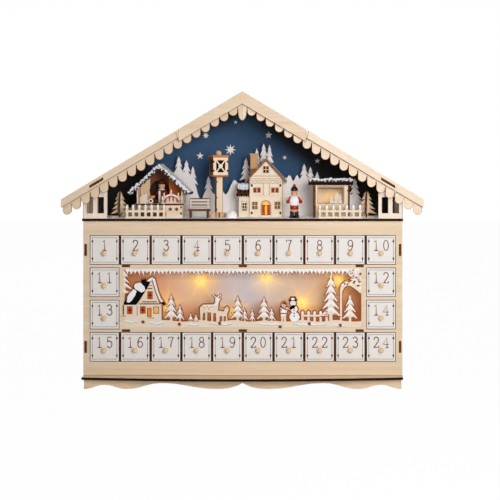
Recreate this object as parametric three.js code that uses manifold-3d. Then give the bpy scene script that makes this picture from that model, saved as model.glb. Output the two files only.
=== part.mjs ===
// Wooden advent calendar: a gabled plywood cabinet with twenty-four numbered drawers, a fretwork window
// and, under the roof, a small lit winter village. Millimetres, +Z up, the front looks along -Y.

import * as THREE from 'three';
import { mergeVertices } from 'three/addons/utils/BufferGeometryUtils.js';
import Module from 'manifold-3d';

const wasm = await Module();
wasm.setup();

// Sheets and fits
const ply = 3;
const finePly = 2;
const slideGap = 0.3;
const slotGap = 0.15;
const slopeGap = 0.2;
const mergeTolerance = 1e-4;

// Drawers
const columns = 10;
const columnPitch = 38.4;
const rows = 4;
const rowPitch = 40.4;
const frontWidth = 36.4;
const frontHeight = 36.4;
const trayHeight = 31;
const trayLength = 68;
const trayWall = 2;
const traySideGap = 0.4;
const knobDiameter = 6.3;
const knobDrop = 4;
const knobSink = 0.5;

// Cabinet
const stileWidth = 7.5;
const footRail = 17.8;
const headRail = 18.1;
const skirtHeight = 13;
const sideInset = 1.5;
const bowReach = 24;
const bowEndReach = 12;
const skirtSetback = 4;
const floorLip = 5;
const floorOverhang = 0.5;
const tabLength = 10;
const sideTabLength = 14.6;
const footTabPlaces = [0, 65, 146, 183];
const shelfTabPlace = 146;
const rackBackGap = 3;
const rackEndGap = 3;
const topShelfGap = 0.7;

// Roof
const gableRise = 158.5;
const eaveReach = 25.5;
const roofPitch = THREE.MathUtils.degToRad(30.8);
const roofReach = 12;
const roofPanelDrop = 3.4;
const roofPanelEnd = 4;
const ridgeBoardWidth = 13.2;
const eaveBoardWidth = 8.8;
const ridgeBoardSpan = 79;
const roofTabLength = 20;
const roofTabPlace = 44;

// Scalloped boards
const scallopPitch = 11.46;
const scallopWidth = 10.2;
const scallopDrop = 23.4;
const scallopSlitDrop = 9.5;
const pendantDrop = 36;
const pendantWidth = 4.9;

// Fences and slotted firs of the village
const fenceHeight = 17.5;
const fenceSetback = 4;
const leftFenceX = -147.8;
const leftFenceLength = 51.2;
const rightFenceX = 94.2;
const rightFenceLength = 55;
const towerX = -32.8;
const leftFirX = -158.8;
const leftFirWidth = 24.4;
const rightFirX = 156;
const rightFirWidth = 27;
const firHeight = 34.4;
const firY = 4;

// Narrow walls at the ends of the stage
const endWindowWidth = 30.1;

// Fretwork window
const windowMargin = 4.1;
const windowFootRail = 6.1;
const windowHeadRail = 2.7;
const groundRise = 4.4;
const iciclePitch = 4.9;
// The winter scene is drawn for a window of this size and then fitted to the real one
const sceneWidth = 296;
const sceneBottom = 80;
const sceneTop = 149;
const backdropSetback = 22;
const backdropGap = 0.3;

// Lighting
const wireDiameter = 1.6;
const bulbDiameter = 4.6;
const bulbLength = 9;
const wireHole = 5;
const wireRiseX = -45;
const batteryBoxWidth = 66;
const batteryBoxHeight = 38;
const batteryBoxDepth = 22;
const batteryBoxWall = 2;
const batteryBoxRise = 19;
const switchStrip = 12;
const lidThickness = 1.6;
const lidLip = 1;
const lidLedge = 1.6;
const lidTravel = 22;
const switchWidth = 4;
const switchHeight = 7;
const switchTravel = 4;

// Places worked out from the sizes above
const rackWidth = columns * columnPitch;
const bodyWidth = rackWidth + 2 * stileWidth;
const lidWidth = batteryBoxWidth - switchStrip;
const trayEndGap = rackBackGap + rackEndGap;
const cabinetDepth = ply + trayLength + trayEndGap + ply;
const overallDepth = cabinetDepth + bowReach;
const frontY = bowReach - overallDepth / 2;
const faceBackY = frontY + ply;
const backY = overallDepth / 2;
const backPanelY = backY - ply;
const baseTop = skirtHeight + ply;
const topRowHeight = baseTop + footRail + (rows - 1) * rowPitch + frontHeight / 2;
const floorBottom = topRowHeight + frontHeight / 2 + headRail;
const stageHeight = floorBottom + ply;
const sideOuter = bodyWidth / 2 - sideInset;
const sideInner = sideOuter - ply;
const bayHalf = rackWidth / 2 - columnPitch;
const apexHeight = stageHeight + gableRise;
const roofWidth = bodyWidth + 2 * eaveReach;
const barge = frontY - roofReach;
const scallopY = barge + ply;
const roofFrontY = scallopY + ply;
const slope = Math.tan(roofPitch);
const slantFactor = 1 / Math.cos(roofPitch);
const panelTopDrop = roofPanelDrop * slantFactor;
const panelBottomDrop = (roofPanelDrop + ply) * slantFactor;
const scallopCount = Math.floor((roofWidth / 2 - scallopWidth / 2) / scallopPitch);
const windowWidth = 2 * (bayHalf - ply / 2 - windowMargin);
const windowBottom = shelfTop(rows - 2) + windowFootRail;
const windowTop = shelfTop(0) - ply - windowHeadRail;
const sceneGround = sceneBottom + groundRise;
const backdropFront = faceBackY + backdropSetback;
const batteryBoxFoot = shelfTop(rows - 2) + batteryBoxRise;
const sideTabHeights = [rowCentre(rows - 1), rowCentre(0)];
const windowBulbs = [[-100, 26], [-55, 58], [-12.5, 19], [28, 63], [74, 30], [119, 59]];

// Colours
const woodColour = 0xd9bd94;
const whiteColour = 0xe6e6e4;
const burntColour = 0x4a2a18;
const snowColour = 0xf1f3f6;
const nightColour = 0x24405f;
const warmColour = 0xb87a3f;
const redColour = 0xa3241f;
const blackColour = 0x1d1c1e;
const wireColour = 0x5d6b3a;

// Height of the roof's top edge at a distance from the middle
function roofLine(x, drop = 0) {
  return apexHeight - slope * Math.abs(x) - drop;
}

// Closed outline through straight points
function outline(points) {
  return new THREE.Shape(points.map(([a, b]) => new THREE.Vector2(a, b)));
}

function rectangle(left, low, right, high) {
  return outline([[left, low], [right, low], [right, high], [left, high]]);
}

function disc(x, y, radius) {
  return new THREE.Shape().absarc(x, y, radius, 0, 2 * Math.PI, false);
}

function star(x, y, points, outer, inner) {
  const corners = [];
  for (let i = 0; i < 2 * points; i++) {
    const angle = Math.PI / 2 + (i * Math.PI) / points;
    const radius = i % 2 === 0 ? outer : inner;
    corners.push([x + radius * Math.cos(angle), y + radius * Math.sin(angle)]);
  }
  return outline(corners);
}

// A fir seen from the front: a trunk and tiers of branches that narrow to the tip
function fir(x, foot, width, height, tiers) {
  const trunk = 0.08 * width;
  const skirtLine = foot + 0.12 * height;
  const tierHeight = (foot + height - skirtLine) / tiers;
  const right = [[trunk, foot], [trunk, skirtLine + 0.3 * tierHeight]];
  for (let i = 0; i < tiers; i++) {
    const reach = (width / 2) * (1 - 0.85 * (i / tiers));
    right.push([reach, skirtLine + tierHeight * i]);
    if (i < tiers - 1) {
      right.push([Math.max(trunk, reach * 0.26), skirtLine + tierHeight * (i + 1.22)]);
    }
  }
  const left = right.map(([a, b]) => [-a, b]).reverse();
  const all = [...right, [0, foot + height], ...left];
  return outline(all.map(([a, b]) => [x + a, b]));
}

// A three.js geometry as a closed solid that can be cut and joined
function solidOf(geometry) {
  const bare = geometry.clone();
  bare.deleteAttribute('normal');
  bare.deleteAttribute('uv');
  const merged = mergeVertices(bare, mergeTolerance);
  return new wasm.Manifold(new wasm.Mesh({
    numProp: 3,
    vertProperties: new Float32Array(merged.attributes.position.array),
    triVerts: Uint32Array.from(merged.index.array),
  }));
}

function geometryOf(solid) {
  const mesh = solid.getMesh();
  const geometry = new THREE.BufferGeometry();
  geometry.setAttribute('position', new THREE.BufferAttribute(mesh.vertProperties, 3));
  geometry.setIndex(new THREE.BufferAttribute(mesh.triVerts, 1));
  geometry.computeVertexNormals();
  return geometry;
}

function joined(solids) {
  return solids.reduce((whole, part) => whole.add(part));
}

// A flat outline pushed straight up by a depth and laid in place, with its holes sawn through
function extruded(shape, depth, curveSegments, place) {
  const settings = { depth, bevelEnabled: false, curveSegments };
  const plain = new THREE.Shape(shape.getPoints(curveSegments));
  let sheet = solidOf(new THREE.ExtrudeGeometry(plain, settings).applyMatrix4(place));
  for (const hole of shape.holes) {
    const saw = new THREE.ExtrudeGeometry(new THREE.Shape(hole.getPoints(curveSegments)), {
      ...settings,
      depth: depth + 2,
    });
    sheet = sheet.subtract(solidOf(saw.translate(0, 0, -1).applyMatrix4(place)));
  }
  return sheet;
}

// A sheet drawn as seen from the front, from front face to back face
function frontSheet(shape, front, back, curveSegments = 6) {
  const place = new THREE.Matrix4().set(1, 0, 0, 0, 0, 0, -1, back, 0, 1, 0, 0, 0, 0, 0, 1);
  return extruded(shape, back - front, curveSegments, place);
}

// A sheet drawn as seen from above, lying between two heights
function flatSheet(shape, low, high, curveSegments = 6) {
  return extruded(shape, high - low, curveSegments, new THREE.Matrix4().makeTranslation(0, 0, low));
}

// A sheet drawn as depth and height, standing between two widths
function sideSheet(shape, left, right, curveSegments = 6) {
  const place = new THREE.Matrix4().set(0, 0, 1, left, 1, 0, 0, 0, 0, 1, 0, 0, 0, 0, 0, 1);
  return extruded(shape, right - left, curveSegments, place);
}

function block(left, right, front, back, low, high) {
  const geometry = new THREE.BoxGeometry(right - left, back - front, high - low);
  geometry.translate((left + right) / 2, (front + back) / 2, (low + high) / 2);
  return solidOf(geometry);
}

// A turned piece from radii and heights up its middle line
function turned(profile, sides, place = [0, 0, 0]) {
  const geometry = new THREE.LatheGeometry(profile.map(([r, h]) => new THREE.Vector2(r, h)), sides);
  return solidOf(geometry.rotateX(Math.PI / 2).translate(...place));
}

function ball(radius, sides, place) {
  const rings = sides / 2;
  return solidOf(new THREE.SphereGeometry(radius, sides, rings).translate(...place));
}

const calendar = new THREE.Group();

function addPiece(name, solid, colour, roughness = 0.75, metalness = 0) {
  const material = new THREE.MeshStandardMaterial({ color: colour, roughness, metalness });
  const mesh = new THREE.Mesh(geometryOf(solid), material);
  mesh.name = name;
  calendar.add(mesh);
  return mesh;
}

// Rows are counted from the top, columns from the left
function rowCentre(row) {
  return topRowHeight - row * rowPitch;
}

function rowFoot(row) {
  return rowCentre(row) - frontHeight / 2;
}

function shelfTop(row) {
  return rowFoot(row) - slideGap;
}

function columnCentre(column) {
  return (column - (columns - 1) / 2) * columnPitch;
}

// The base board has a bowed front edge and takes the feet of the face board
function baseBoard() {
  const half = bodyWidth / 2;
  const shape = new THREE.Shape();
  shape.moveTo(-half, backY);
  shape.lineTo(-half, frontY - bowEndReach);
  shape.quadraticCurveTo(0, frontY - 2 * bowReach + bowEndReach, half, frontY - bowEndReach);
  shape.lineTo(half, backY);
  let board = flatSheet(shape, skirtHeight, baseTop, 16);
  for (const x of footTabs()) {
    board = board.subtract(footTab(x, slotGap));
  }
  return board;
}

function footTabs() {
  return footTabPlaces.flatMap((x) => (x === 0 ? [0] : [-x, x]));
}

function footTab(x, gap) {
  const half = tabLength / 2 + gap;
  return block(x - half, x + half, frontY - gap, faceBackY + gap, skirtHeight - gap, baseTop + gap);
}

// The skirt's lower edge rises and falls in waves and meets in a peak in the middle
function skirt() {
  const half = bodyWidth / 2 - sideInset;
  const front = frontY - skirtSetback;
  const waves = [[half, 0], [172.5, 5.4], [144.5, 0], [101, 7.6], [32, 0]];
  const peak = 7.7;
  const shape = new THREE.Shape();
  shape.moveTo(half, skirtHeight);
  shape.lineTo(-half, skirtHeight);
  shape.lineTo(-half, 0);
  addWaves(shape, waves.map(([x, z]) => [-x, z]));
  shape.quadraticCurveTo(-12, 0, 0, peak);
  shape.quadraticCurveTo(12, 0, 32, 0);
  addWaves(shape, [...waves].reverse());
  const parts = [frontSheet(shape, front, front + ply, 5)];
  const joint = 1;
  for (const side of [-1, 1]) {
    const outer = side * half;
    const inner = side * (half - ply);
    parts.push(block(Math.min(outer, inner), Math.max(outer, inner), front + joint, backY - sideInset, 0, skirtHeight));
  }
  return joined(parts);
}

function addWaves(shape, knots) {
  for (let i = 1; i < knots.length; i++) {
    const [x0, z0] = knots[i - 1];
    const [x1, z1] = knots[i];
    const pull = 0.42 * (x1 - x0);
    shape.bezierCurveTo(x0 + pull, z0, x1 - pull, z1, x1, z1);
  }
}

// A side panel reaches from the base to the roof, with two tabs that show in the face board
function sidePanel(side) {
  const top = roofLine(sideOuter, panelBottomDrop) - slopeGap;
  const left = side < 0 ? -sideOuter : sideInner;
  let panel = block(left, left + ply, faceBackY, backY, baseTop, top);
  for (const z of sideTabHeights) {
    panel = panel.add(sideTab(side, z, 0));
  }
  return panel;
}

function sideTab(side, z, gap) {
  const left = side < 0 ? -sideOuter : sideInner;
  const half = sideTabLength / 2 + gap;
  return block(left - gap, left + ply + gap, frontY - gap, faceBackY + 1, z - half, z + half);
}

// The rack: shelves under each row and uprights between the columns, slotted into one another
function drawerRack() {
  const back = backPanelY - rackBackGap;
  const half = rackWidth / 2 + ply / 2;
  const roofOfTopRow = rowFoot(0) + frontHeight + topShelfGap;
  const parts = [block(-half, half, faceBackY, back, roofOfTopRow, roofOfTopRow + ply)];
  for (const row of [0, rows - 2, rows - 1]) {
    parts.push(block(-half, half, faceBackY, back, shelfTop(row) - ply, shelfTop(row)));
  }
  for (const side of [-1, 1]) {
    const edges = [side * half, side * (bayHalf - ply / 2)];
    const [left, right] = [Math.min(...edges), Math.max(...edges)];
    for (let row = 1; row < rows - 2; row++) {
      parts.push(block(left, right, faceBackY, back, shelfTop(row) - ply, shelfTop(row)));
    }
    for (const x of [side * (rackWidth / 2), side * bayHalf]) {
      parts.push(upright(x, shelfTop(rows - 1) - ply, roofOfTopRow + ply, back));
    }
  }
  for (let i = 2; i < columns - 1; i++) {
    const x = -rackWidth / 2 + i * columnPitch;
    parts.push(upright(x, shelfTop(0) - 1, roofOfTopRow + 1, back));
    parts.push(upright(x, shelfTop(rows - 1) - 1, shelfTop(rows - 2) - 1, back));
  }
  for (const tab of shelfTabs(0)) {
    parts.push(tab);
  }
  return joined(parts);
}

function upright(x, low, high, back) {
  return block(x - ply / 2, x + ply / 2, faceBackY, back, low, high);
}

// Tabs of the two shelves that bound the window, seen as dark bars in the face board
function shelfTabs(gap) {
  const tabs = [];
  for (const row of [0, rows - 2]) {
    for (const x of [-shelfTabPlace, 0, shelfTabPlace]) {
      const half = tabLength / 2 + gap;
      const top = shelfTop(row);
      tabs.push(block(x - half, x + half, frontY - gap, faceBackY + 1, top - ply - gap, top + gap));
    }
  }
  return tabs;
}

// The face board: openings for the drawers and the fretwork window sawn in one sheet
function faceBoard() {
  const half = bodyWidth / 2;
  const before = frontY - 1;
  const behind = faceBackY + 1;
  const runHalf = rackWidth / 2 - (columnPitch - frontWidth) / 2 + slideGap;
  const bayEdge = bayHalf + (columnPitch - frontWidth) / 2 - slideGap;
  let board = block(-half, half, frontY, faceBackY, baseTop, floorBottom);
  for (let row = 0; row < rows; row++) {
    const low = rowFoot(row) - slideGap;
    const high = rowFoot(row) + frontHeight + slideGap;
    if (row === 0 || row === rows - 1) {
      board = board.subtract(block(-runHalf, runHalf, before, behind, low, high));
    } else {
      board = board.subtract(block(-runHalf, -bayEdge, before, behind, low, high));
      board = board.subtract(block(bayEdge, runHalf, before, behind, low, high));
    }
  }
  for (const side of [-1, 1]) {
    for (const z of sideTabHeights) {
      board = board.subtract(sideTab(side, z, slotGap));
    }
  }
  for (const tab of shelfTabs(slotGap)) {
    board = board.subtract(tab);
  }
  board = board.subtract(windowCut(before, behind));
  for (const x of footTabs()) {
    const overlap = block(x - tabLength / 2, x + tabLength / 2, frontY, faceBackY, baseTop - 1, baseTop + 1);
    board = board.add(footTab(x, 0)).add(overlap);
  }
  return board;
}

// What the saw takes out of the window: the opening less the winter scene that stays
function windowCut(before, behind) {
  const opening = block(-windowWidth / 2, windowWidth / 2, before, behind, windowBottom, windowTop);
  const scene = sceneShapes().map((shape) => frontSheet(shape, before - 1, behind + 1, 3));
  const stretch = [windowWidth / sceneWidth, 1, (windowTop - windowBottom) / (sceneTop - sceneBottom)];
  const drawn = joined(scene).translate([0, 0, -sceneBottom]);
  return opening.subtract(drawn.scale(stretch).translate([0, 0, windowBottom]));
}

function sceneShapes() {
  return [
    ...snowyGround(),
    ...icicles(),
    ...sceneFirs(),
    ...sceneHouse(-125, sceneGround - 1),
    deer(-42, sceneGround - 1),
    fawn(-24, sceneGround - 1),
    child(51, sceneGround - 1),
    ...snowman(64.5, sceneGround - 2),
    ...sceneFence(74.6, 104.8, sceneGround - 1),
    leafyBranch(122.7, 117),
  ];
}

// Snow on the ground: a strip with a waved top edge
function snowyGround() {
  const half = sceneWidth / 2 + 1;
  const waves = 14;
  const shape = new THREE.Shape();
  shape.moveTo(-half, sceneBottom - 1);
  shape.lineTo(half, sceneBottom - 1);
  shape.lineTo(half, sceneGround);
  for (let i = 1; i <= waves; i++) {
    const x = half - (2 * half * i) / waves;
    const middle = x + half / waves;
    shape.quadraticCurveTo(middle, sceneGround + (i % 2 === 0 ? 2.6 : -1.6), x, sceneGround);
  }
  return [shape];
}

// Icicles hang from the window's top edge, long and short in turn
function icicles() {
  const count = Math.floor(sceneWidth / iciclePitch);
  const start = (-count * iciclePitch) / 2;
  const points = [[start, sceneTop + 1]];
  for (let i = 0; i < count; i++) {
    const root = 1.5 + Math.abs(Math.sin(0.8 * i));
    const length = 3.6 + 1.7 * Math.abs(Math.sin(1.9 * i)) + 1.7 * Math.abs(Math.cos(0.7 * i));
    const x = start + i * iciclePitch;
    points.push([x, sceneTop - root]);
    points.push([x + iciclePitch * 0.55, sceneTop - length]);
  }
  points.push([-start, sceneTop - 1.4], [-start, sceneTop + 1]);
  return [outline(points)];
}

function sceneFirs() {
  const foot = sceneGround - 1.5;
  const places = [
    [-89.5, 19, 34.4, 4], [-78.6, 12, 21.4, 3], [-65.2, 7, 11.6, 2], [-58.6, 7, 10, 2], [-6.4, 19, 32.4, 4],
    [2.3, 10, 17.6, 3], [11.8, 8, 17, 3], [26.4, 19, 31, 4], [36, 11, 18, 3], [110, 26, 60.4, 6],
    [134, 20, 34.4, 4],
  ];
  const firs = places.map(([x, width, height, tiers]) => fir(x, foot, width, height, tiers));
  const trunk = rectangle(121.4, foot, 124, 119);
  const edge = -sceneWidth / 2 - 1;
  const edgeSpray = outline([
    [edge, 148.5], [edge + 3.4, 142.4], [edge + 5.6, 140], [edge + 2, 139.8], [edge + 1.8, 138.2],
    [edge + 8.2, 131.8], [edge + 5, 132.4], [edge + 2, 134.4], [edge + 2, 132.2], [edge + 11.2, 124.4],
    [edge + 7.6, 124.6], [edge + 2.6, 127.2], [edge + 2, 124.6], [edge + 3.4, 122], [edge + 8, 120.8],
    [edge + 4.4, 119.4], [edge + 1.6, 118.6], [edge + 1, 112],
  ]);
  return [...firs, trunk, edgeSpray];
}

// The fretted house: its gable end on the right and a long low wall under the left roof. A thin slit
// parts the gable from the curved bargeboard on its right
function sceneHouse(x, foot) {
  const gableLeft = x - 8.5;
  const gableRight = x + 24;
  const wallLeft = -sceneWidth / 2 - 1;
  const eaves = foot + 22;
  const wall = rectangle(wallLeft, foot, gableRight, eaves);
  for (const [left, low, width, height] of [
    [x - 19.8, foot + 9.6, 6.8, 9.7], [x - 3.5, foot + 10, 7, 9.4], [x + 5.3, foot + 6, 5.5, 11.6],
    [x + 13, foot + 10, 7.2, 9],
  ]) {
    wall.holes.push(rectangle(left, low, left + width, low + height));
  }
  const gable = outline([
    [gableLeft, eaves - 1], [gableRight - 2.4, eaves - 1], [x + 18.6, foot + 28.6], [x + 15.2, foot + 37.3],
    [x + 12.3, foot + 47.3], [x + 11.3, foot + 51.5], [x + 9, foot + 51.5],
  ]);
  gable.holes.push(rectangle(x + 5.5, foot + 28.3, x + 12.3, foot + 38.1));
  gable.holes.push(rectangle(x + 5, foot + 41, x + 11.6, foot + 42.4));
  gable.holes.push(rectangle(x - 1, foot + 24.4, x + 17.4, foot + 25.6));
  const rightRoof = outline([
    [x + 11.5, foot + 56.4], [x + 15, foot + 53.6], [x + 16.4, foot + 48.6], [x + 19, foot + 38.6],
    [x + 22.5, foot + 29.6], [x + 26.5, foot + 24], [x + 28.4, foot + 22], [x + 25.8, foot + 20.8],
    [x + 22.6, foot + 23.6], [x + 20, foot + 29], [x + 16.6, foot + 37.7], [x + 13.8, foot + 47.5],
    [x + 12.4, foot + 52],
  ]);
  const leftRoof = outline([
    [x + 11.5, foot + 56.4], [x + 12.6, foot + 51.2], [x + 9.6, foot + 50.6], [x + 6, foot + 43.6],
    [x + 2, foot + 36.6], [x - 2.5, foot + 29.8], [x - 6, foot + 24.8], [gableLeft, eaves - 1],
    [wallLeft, eaves - 1], [wallLeft, foot + 23.4], [x - 21.5, foot + 27.6], [x - 20, foot + 31.4],
    [x - 19, foot + 34.2], [x - 15, foot + 37.6], [x - 12.3, foot + 39.2], [x - 11.8, foot + 44],
    [x - 9.5, foot + 48.2], [x - 2, foot + 49.6], [x - 1.3, foot + 53.4], [x + 3, foot + 53.8],
    [x + 4.5, foot + 51.6], [x + 7.5, foot + 54.2],
  ]);
  return [wall, gable, rightRoof, leftRoof];
}

function deer(x, foot) {
  return outline([
    [x - 10.8, foot], [x - 8.8, foot], [x - 7.8, foot + 11], [x - 5, foot + 11.4], [x - 4.8, foot],
    [x - 2.8, foot], [x - 2.4, foot + 11.4], [x + 2.2, foot + 11.2], [x + 2.8, foot], [x + 4.8, foot],
    [x + 5.2, foot + 10.8], [x + 8.4, foot + 10.8], [x + 8.8, foot], [x + 10.8, foot], [x + 10.8, foot + 11.5],
    [x + 11.4, foot + 20.6], [x + 12, foot + 25], [x + 14.6, foot + 28.6], [x + 11.4, foot + 30.4],
    [x + 14.6, foot + 33], [x + 14, foot + 34.4], [x + 10, foot + 31.2], [x + 8.6, foot + 31.2],
    [x + 4.4, foot + 34.6], [x + 3.8, foot + 33.4], [x + 7.6, foot + 30], [x + 7.2, foot + 24],
    [x + 5.6, foot + 21.8], [x - 8, foot + 21.4], [x - 11.8, foot + 18], [x - 11.4, foot + 12],
  ]);
}

function fawn(x, foot) {
  return outline([
    [x - 7, foot], [x - 5.4, foot], [x - 5, foot + 7], [x - 1.9, foot + 7], [x - 1.6, foot],
    [x - 0.2, foot], [x + 0.2, foot + 7], [x + 3, foot + 7], [x + 3.2, foot], [x + 4.8, foot],
    [x + 4.4, foot + 10], [x + 6.4, foot + 14.6], [x + 5.8, foot + 18], [x + 4, foot + 19.2],
    [x + 1.6, foot + 17.4], [x + 0.4, foot + 13], [x - 6.6, foot + 14], [x - 7.8, foot + 11],
  ]);
}

function child(x, foot) {
  return outline([
    [x - 3.4, foot], [x - 0.6, foot], [x, foot + 7], [x + 0.6, foot], [x + 3.4, foot], [x + 3.2, foot + 8],
    [x + 4.6, foot + 15], [x + 8.4, foot + 13], [x + 9, foot + 14.6], [x + 3, foot + 19], [x + 3, foot + 22.4],
    [x + 0.4, foot + 25.6], [x - 2.6, foot + 23], [x - 2.8, foot + 19], [x - 4.4, foot + 16], [x - 4, foot + 8],
  ]);
}

function snowman(x, foot) {
  const hatX = x - 2;
  const hat = outline([
    [hatX - 4.6, foot + 27.2], [hatX + 4.6, foot + 27.2], [hatX + 4.6, foot + 28.6], [hatX + 3.3, foot + 28.8],
    [hatX + 3, foot + 31.4], [hatX - 3, foot + 31.4], [hatX - 3.3, foot + 28.8], [hatX - 4.6, foot + 28.6],
  ]);
  return [disc(x, foot + 7, 7), disc(x - 0.6, foot + 17, 5), disc(x - 1.8, foot + 24, 4), hat];
}

function sceneFence(left, right, foot) {
  const pickets = 5;
  const shapes = [rectangle(left - 1, foot + 6.4, right + 1, foot + 9)];
  for (let i = 0; i < pickets; i++) {
    const x = left + ((right - left) * i) / (pickets - 1);
    shapes.push(outline([[x - 1.6, foot], [x + 1.6, foot], [x + 1.6, foot + 12.4], [x, foot + 14], [x - 1.6, foot + 12.4]]));
  }
  return shapes;
}

// A bare tree's branch that sweeps to the window's top right corner, with gaps between its leaves
function leafyBranch(x, z) {
  const edge = sceneWidth / 2 + 1;
  const branch = outline([
    [x - 1.4, z], [x - 1.4, z + 7], [x + 0.8, z + 13.4], [x + 5, z + 16.8], [x + 10, z + 15.4],
    [x + 13.6, z + 17.6], [x + 16, z + 20.6], [x + 11.4, z + 23], [x + 8, z + 27.4], [x + 11, z + 31],
    [edge, z + 32.5], [edge, z + 2], [edge - 3, z + 2.6], [edge - 6, z + 5.4], [edge - 9.6, z + 8],
    [edge - 13.6, z + 10.8], [x + 8.4, z + 11.6], [x + 4.8, z + 10], [x + 2, z + 5], [x + 1.4, z],
  ]);
  for (const [dx, dz] of [[13.6, 27], [19, 30.4], [23.6, 25.4], [19.4, 21.4], [16, 15], [23.2, 16.4], [21, 11.4]]) {
    branch.holes.push(outline([
      [x + dx - 2.2, z + dz], [x + dx, z + dz - 1.2], [x + dx + 2.2, z + dz], [x + dx, z + dz + 1.6],
    ]));
  }
  return branch;
}

// The backdrop stands behind the window between the two full shelves and the bay uprights, with a hole
// for each lamp
function windowBackdrop() {
  const half = bayHalf - ply / 2 - backdropGap;
  const low = shelfTop(rows - 2);
  const high = shelfTop(0) - ply - backdropGap;
  let board = block(-half, half, backdropFront, backdropFront + ply, low, high);
  for (const [x, rise] of windowBulbs) {
    const hole = disc(x, low + rise, bulbDiameter / 2 + slotGap);
    board = board.subtract(frontSheet(hole, backdropFront - 1, backdropFront + ply + 1, 5));
  }
  return board;
}

// The lower back is cut away where the battery box is reached, with room for the lid to slide aside
function backPanel() {
  const half = sideInner;
  const panel = block(-half, half, backPanelY, backY, baseTop, floorBottom);
  const left = -batteryBoxWidth / 2 - lidTravel - slideGap;
  const right = batteryBoxWidth / 2 + slideGap;
  const low = batteryBoxFoot - slideGap;
  const high = batteryBoxFoot + batteryBoxHeight + slideGap;
  return panel.subtract(block(left, right, backPanelY - 1, backY + 1, low, high));
}

// The stage floor lies over the cabinet and shows its edge along the front
function stageFloor() {
  const half = bodyWidth / 2 + floorOverhang;
  const front = frontY - floorLip;
  const inner = sideInner - slideGap;
  const shape = outline([
    [-half, front], [half, front], [half, faceBackY - slideGap], [inner, faceBackY - slideGap],
    [inner, backY], [-inner, backY], [-inner, faceBackY - slideGap], [-half, faceBackY - slideGap],
  ]);
  const wireWay = rectangle(
    wireRiseX - wireHole / 2, backPanelY - wireHole - 1, wireRiseX + wireHole / 2, backPanelY - 0.5,
  );
  const mound = ball(7.3, 12, [-15.5, -10, stageHeight + 2.5]);
  const floor = flatSheet(shape, floorBottom, stageHeight).subtract(flatSheet(wireWay, floorBottom - 1, stageHeight + 1));
  return floor.add(mound.subtract(block(-24, -6, -18, -2, floorBottom - 9, floorBottom + 1)));
}

// Sloping bands follow the roof line between two drops, from one distance to another
function band(from, to, topDrop, bottomDrop) {
  return outline([
    [from, roofLine(from, topDrop)], [to, roofLine(to, topDrop)],
    [to, roofLine(to, bottomDrop)], [from, roofLine(from, bottomDrop)],
  ]);
}

function bargeboardRidge() {
  const drop = ridgeBoardWidth * slantFactor;
  const seam = ridgeBoardSpan;
  const shape = outline([
    [-seam, roofLine(seam)], [0, apexHeight], [seam, roofLine(seam)],
    [seam, roofLine(seam, drop)], [0, apexHeight - drop], [-seam, roofLine(seam, drop)],
  ]);
  return frontSheet(shape, barge, scallopY);
}

function bargeboard(side) {
  const drop = eaveBoardWidth * slantFactor;
  const shape = band(side * (ridgeBoardSpan + slideGap), (side * roofWidth) / 2, 0, drop);
  return frontSheet(shape, barge, scallopY).subtract(roofTab(side, slotGap, barge - 1, roofFrontY));
}

// A roof panel's tab, which shows as a dark bar in the bargeboard
function roofTab(side, gap, front, back) {
  const middle = roofWidth / 2 - roofTabPlace;
  const half = (roofTabLength / 2) * Math.cos(roofPitch) + gap;
  const shape = band(
    side * (middle - half), side * (middle + half),
    panelTopDrop - gap, panelBottomDrop + gap,
  );
  return frontSheet(shape, front, back);
}

// Behind each bargeboard a board ends in hanging tongues with round tips and sawn slits between them
function scallopBoard(side) {
  const radius = scallopWidth / 2;
  const steps = 4;
  const top = 2.5;
  const points = [[0.1, roofLine(0, top)]];
  points.push([0.1, roofLine(0, pendantDrop)]);
  points.push([pendantWidth * 0.55, roofLine(0, pendantDrop - 1.2)]);
  points.push([pendantWidth, roofLine(0, pendantDrop - 5)]);
  for (let i = 1; i <= scallopCount; i++) {
    const x = i * scallopPitch;
    const tip = roofLine(x, scallopDrop);
    const slit = roofLine(x - scallopPitch / 2, scallopSlitDrop * slantFactor);
    const nextSlit = roofLine(x + scallopPitch / 2, scallopSlitDrop * slantFactor);
    points.push([x - radius, slit]);
    for (let j = 0; j <= steps; j++) {
      const angle = Math.PI * (1 + j / steps);
      points.push([x + radius * Math.cos(angle), tip + radius + radius * Math.sin(angle)]);
    }
    points.push([x + radius, i < scallopCount ? nextSlit : roofLine(x + radius, top)]);
  }
  points[4][0] = Math.max(points[4][0], pendantWidth);
  const shape = outline(points.map(([x, z]) => [side * x, z]));
  const board = frontSheet(shape, scallopY, roofFrontY, 4);
  return board.subtract(roofTab(side, slotGap, barge - 1, roofFrontY + 1));
}

// A roof panel runs from the scalloped board to the back and pushes one tab through to the front
function roofPanel(side) {
  const end = roofWidth / 2 - roofPanelEnd;
  const shape = band(side * slopeGap, side * end, panelTopDrop, panelBottomDrop);
  return frontSheet(shape, roofFrontY, backY).add(roofTab(side, 0, barge, roofFrontY + 1));
}

// The night sky closes the back of the stage up to the roof
function skyBoard() {
  const half = sideInner - slideGap;
  const drop = panelBottomDrop + slopeGap;
  const shape = outline([
    [-half, stageHeight], [half, stageHeight], [half, roofLine(half, drop)], [0, roofLine(0, drop)],
    [-half, roofLine(half, drop)],
  ]);
  return frontSheet(shape, backPanelY, backY);
}

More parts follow.
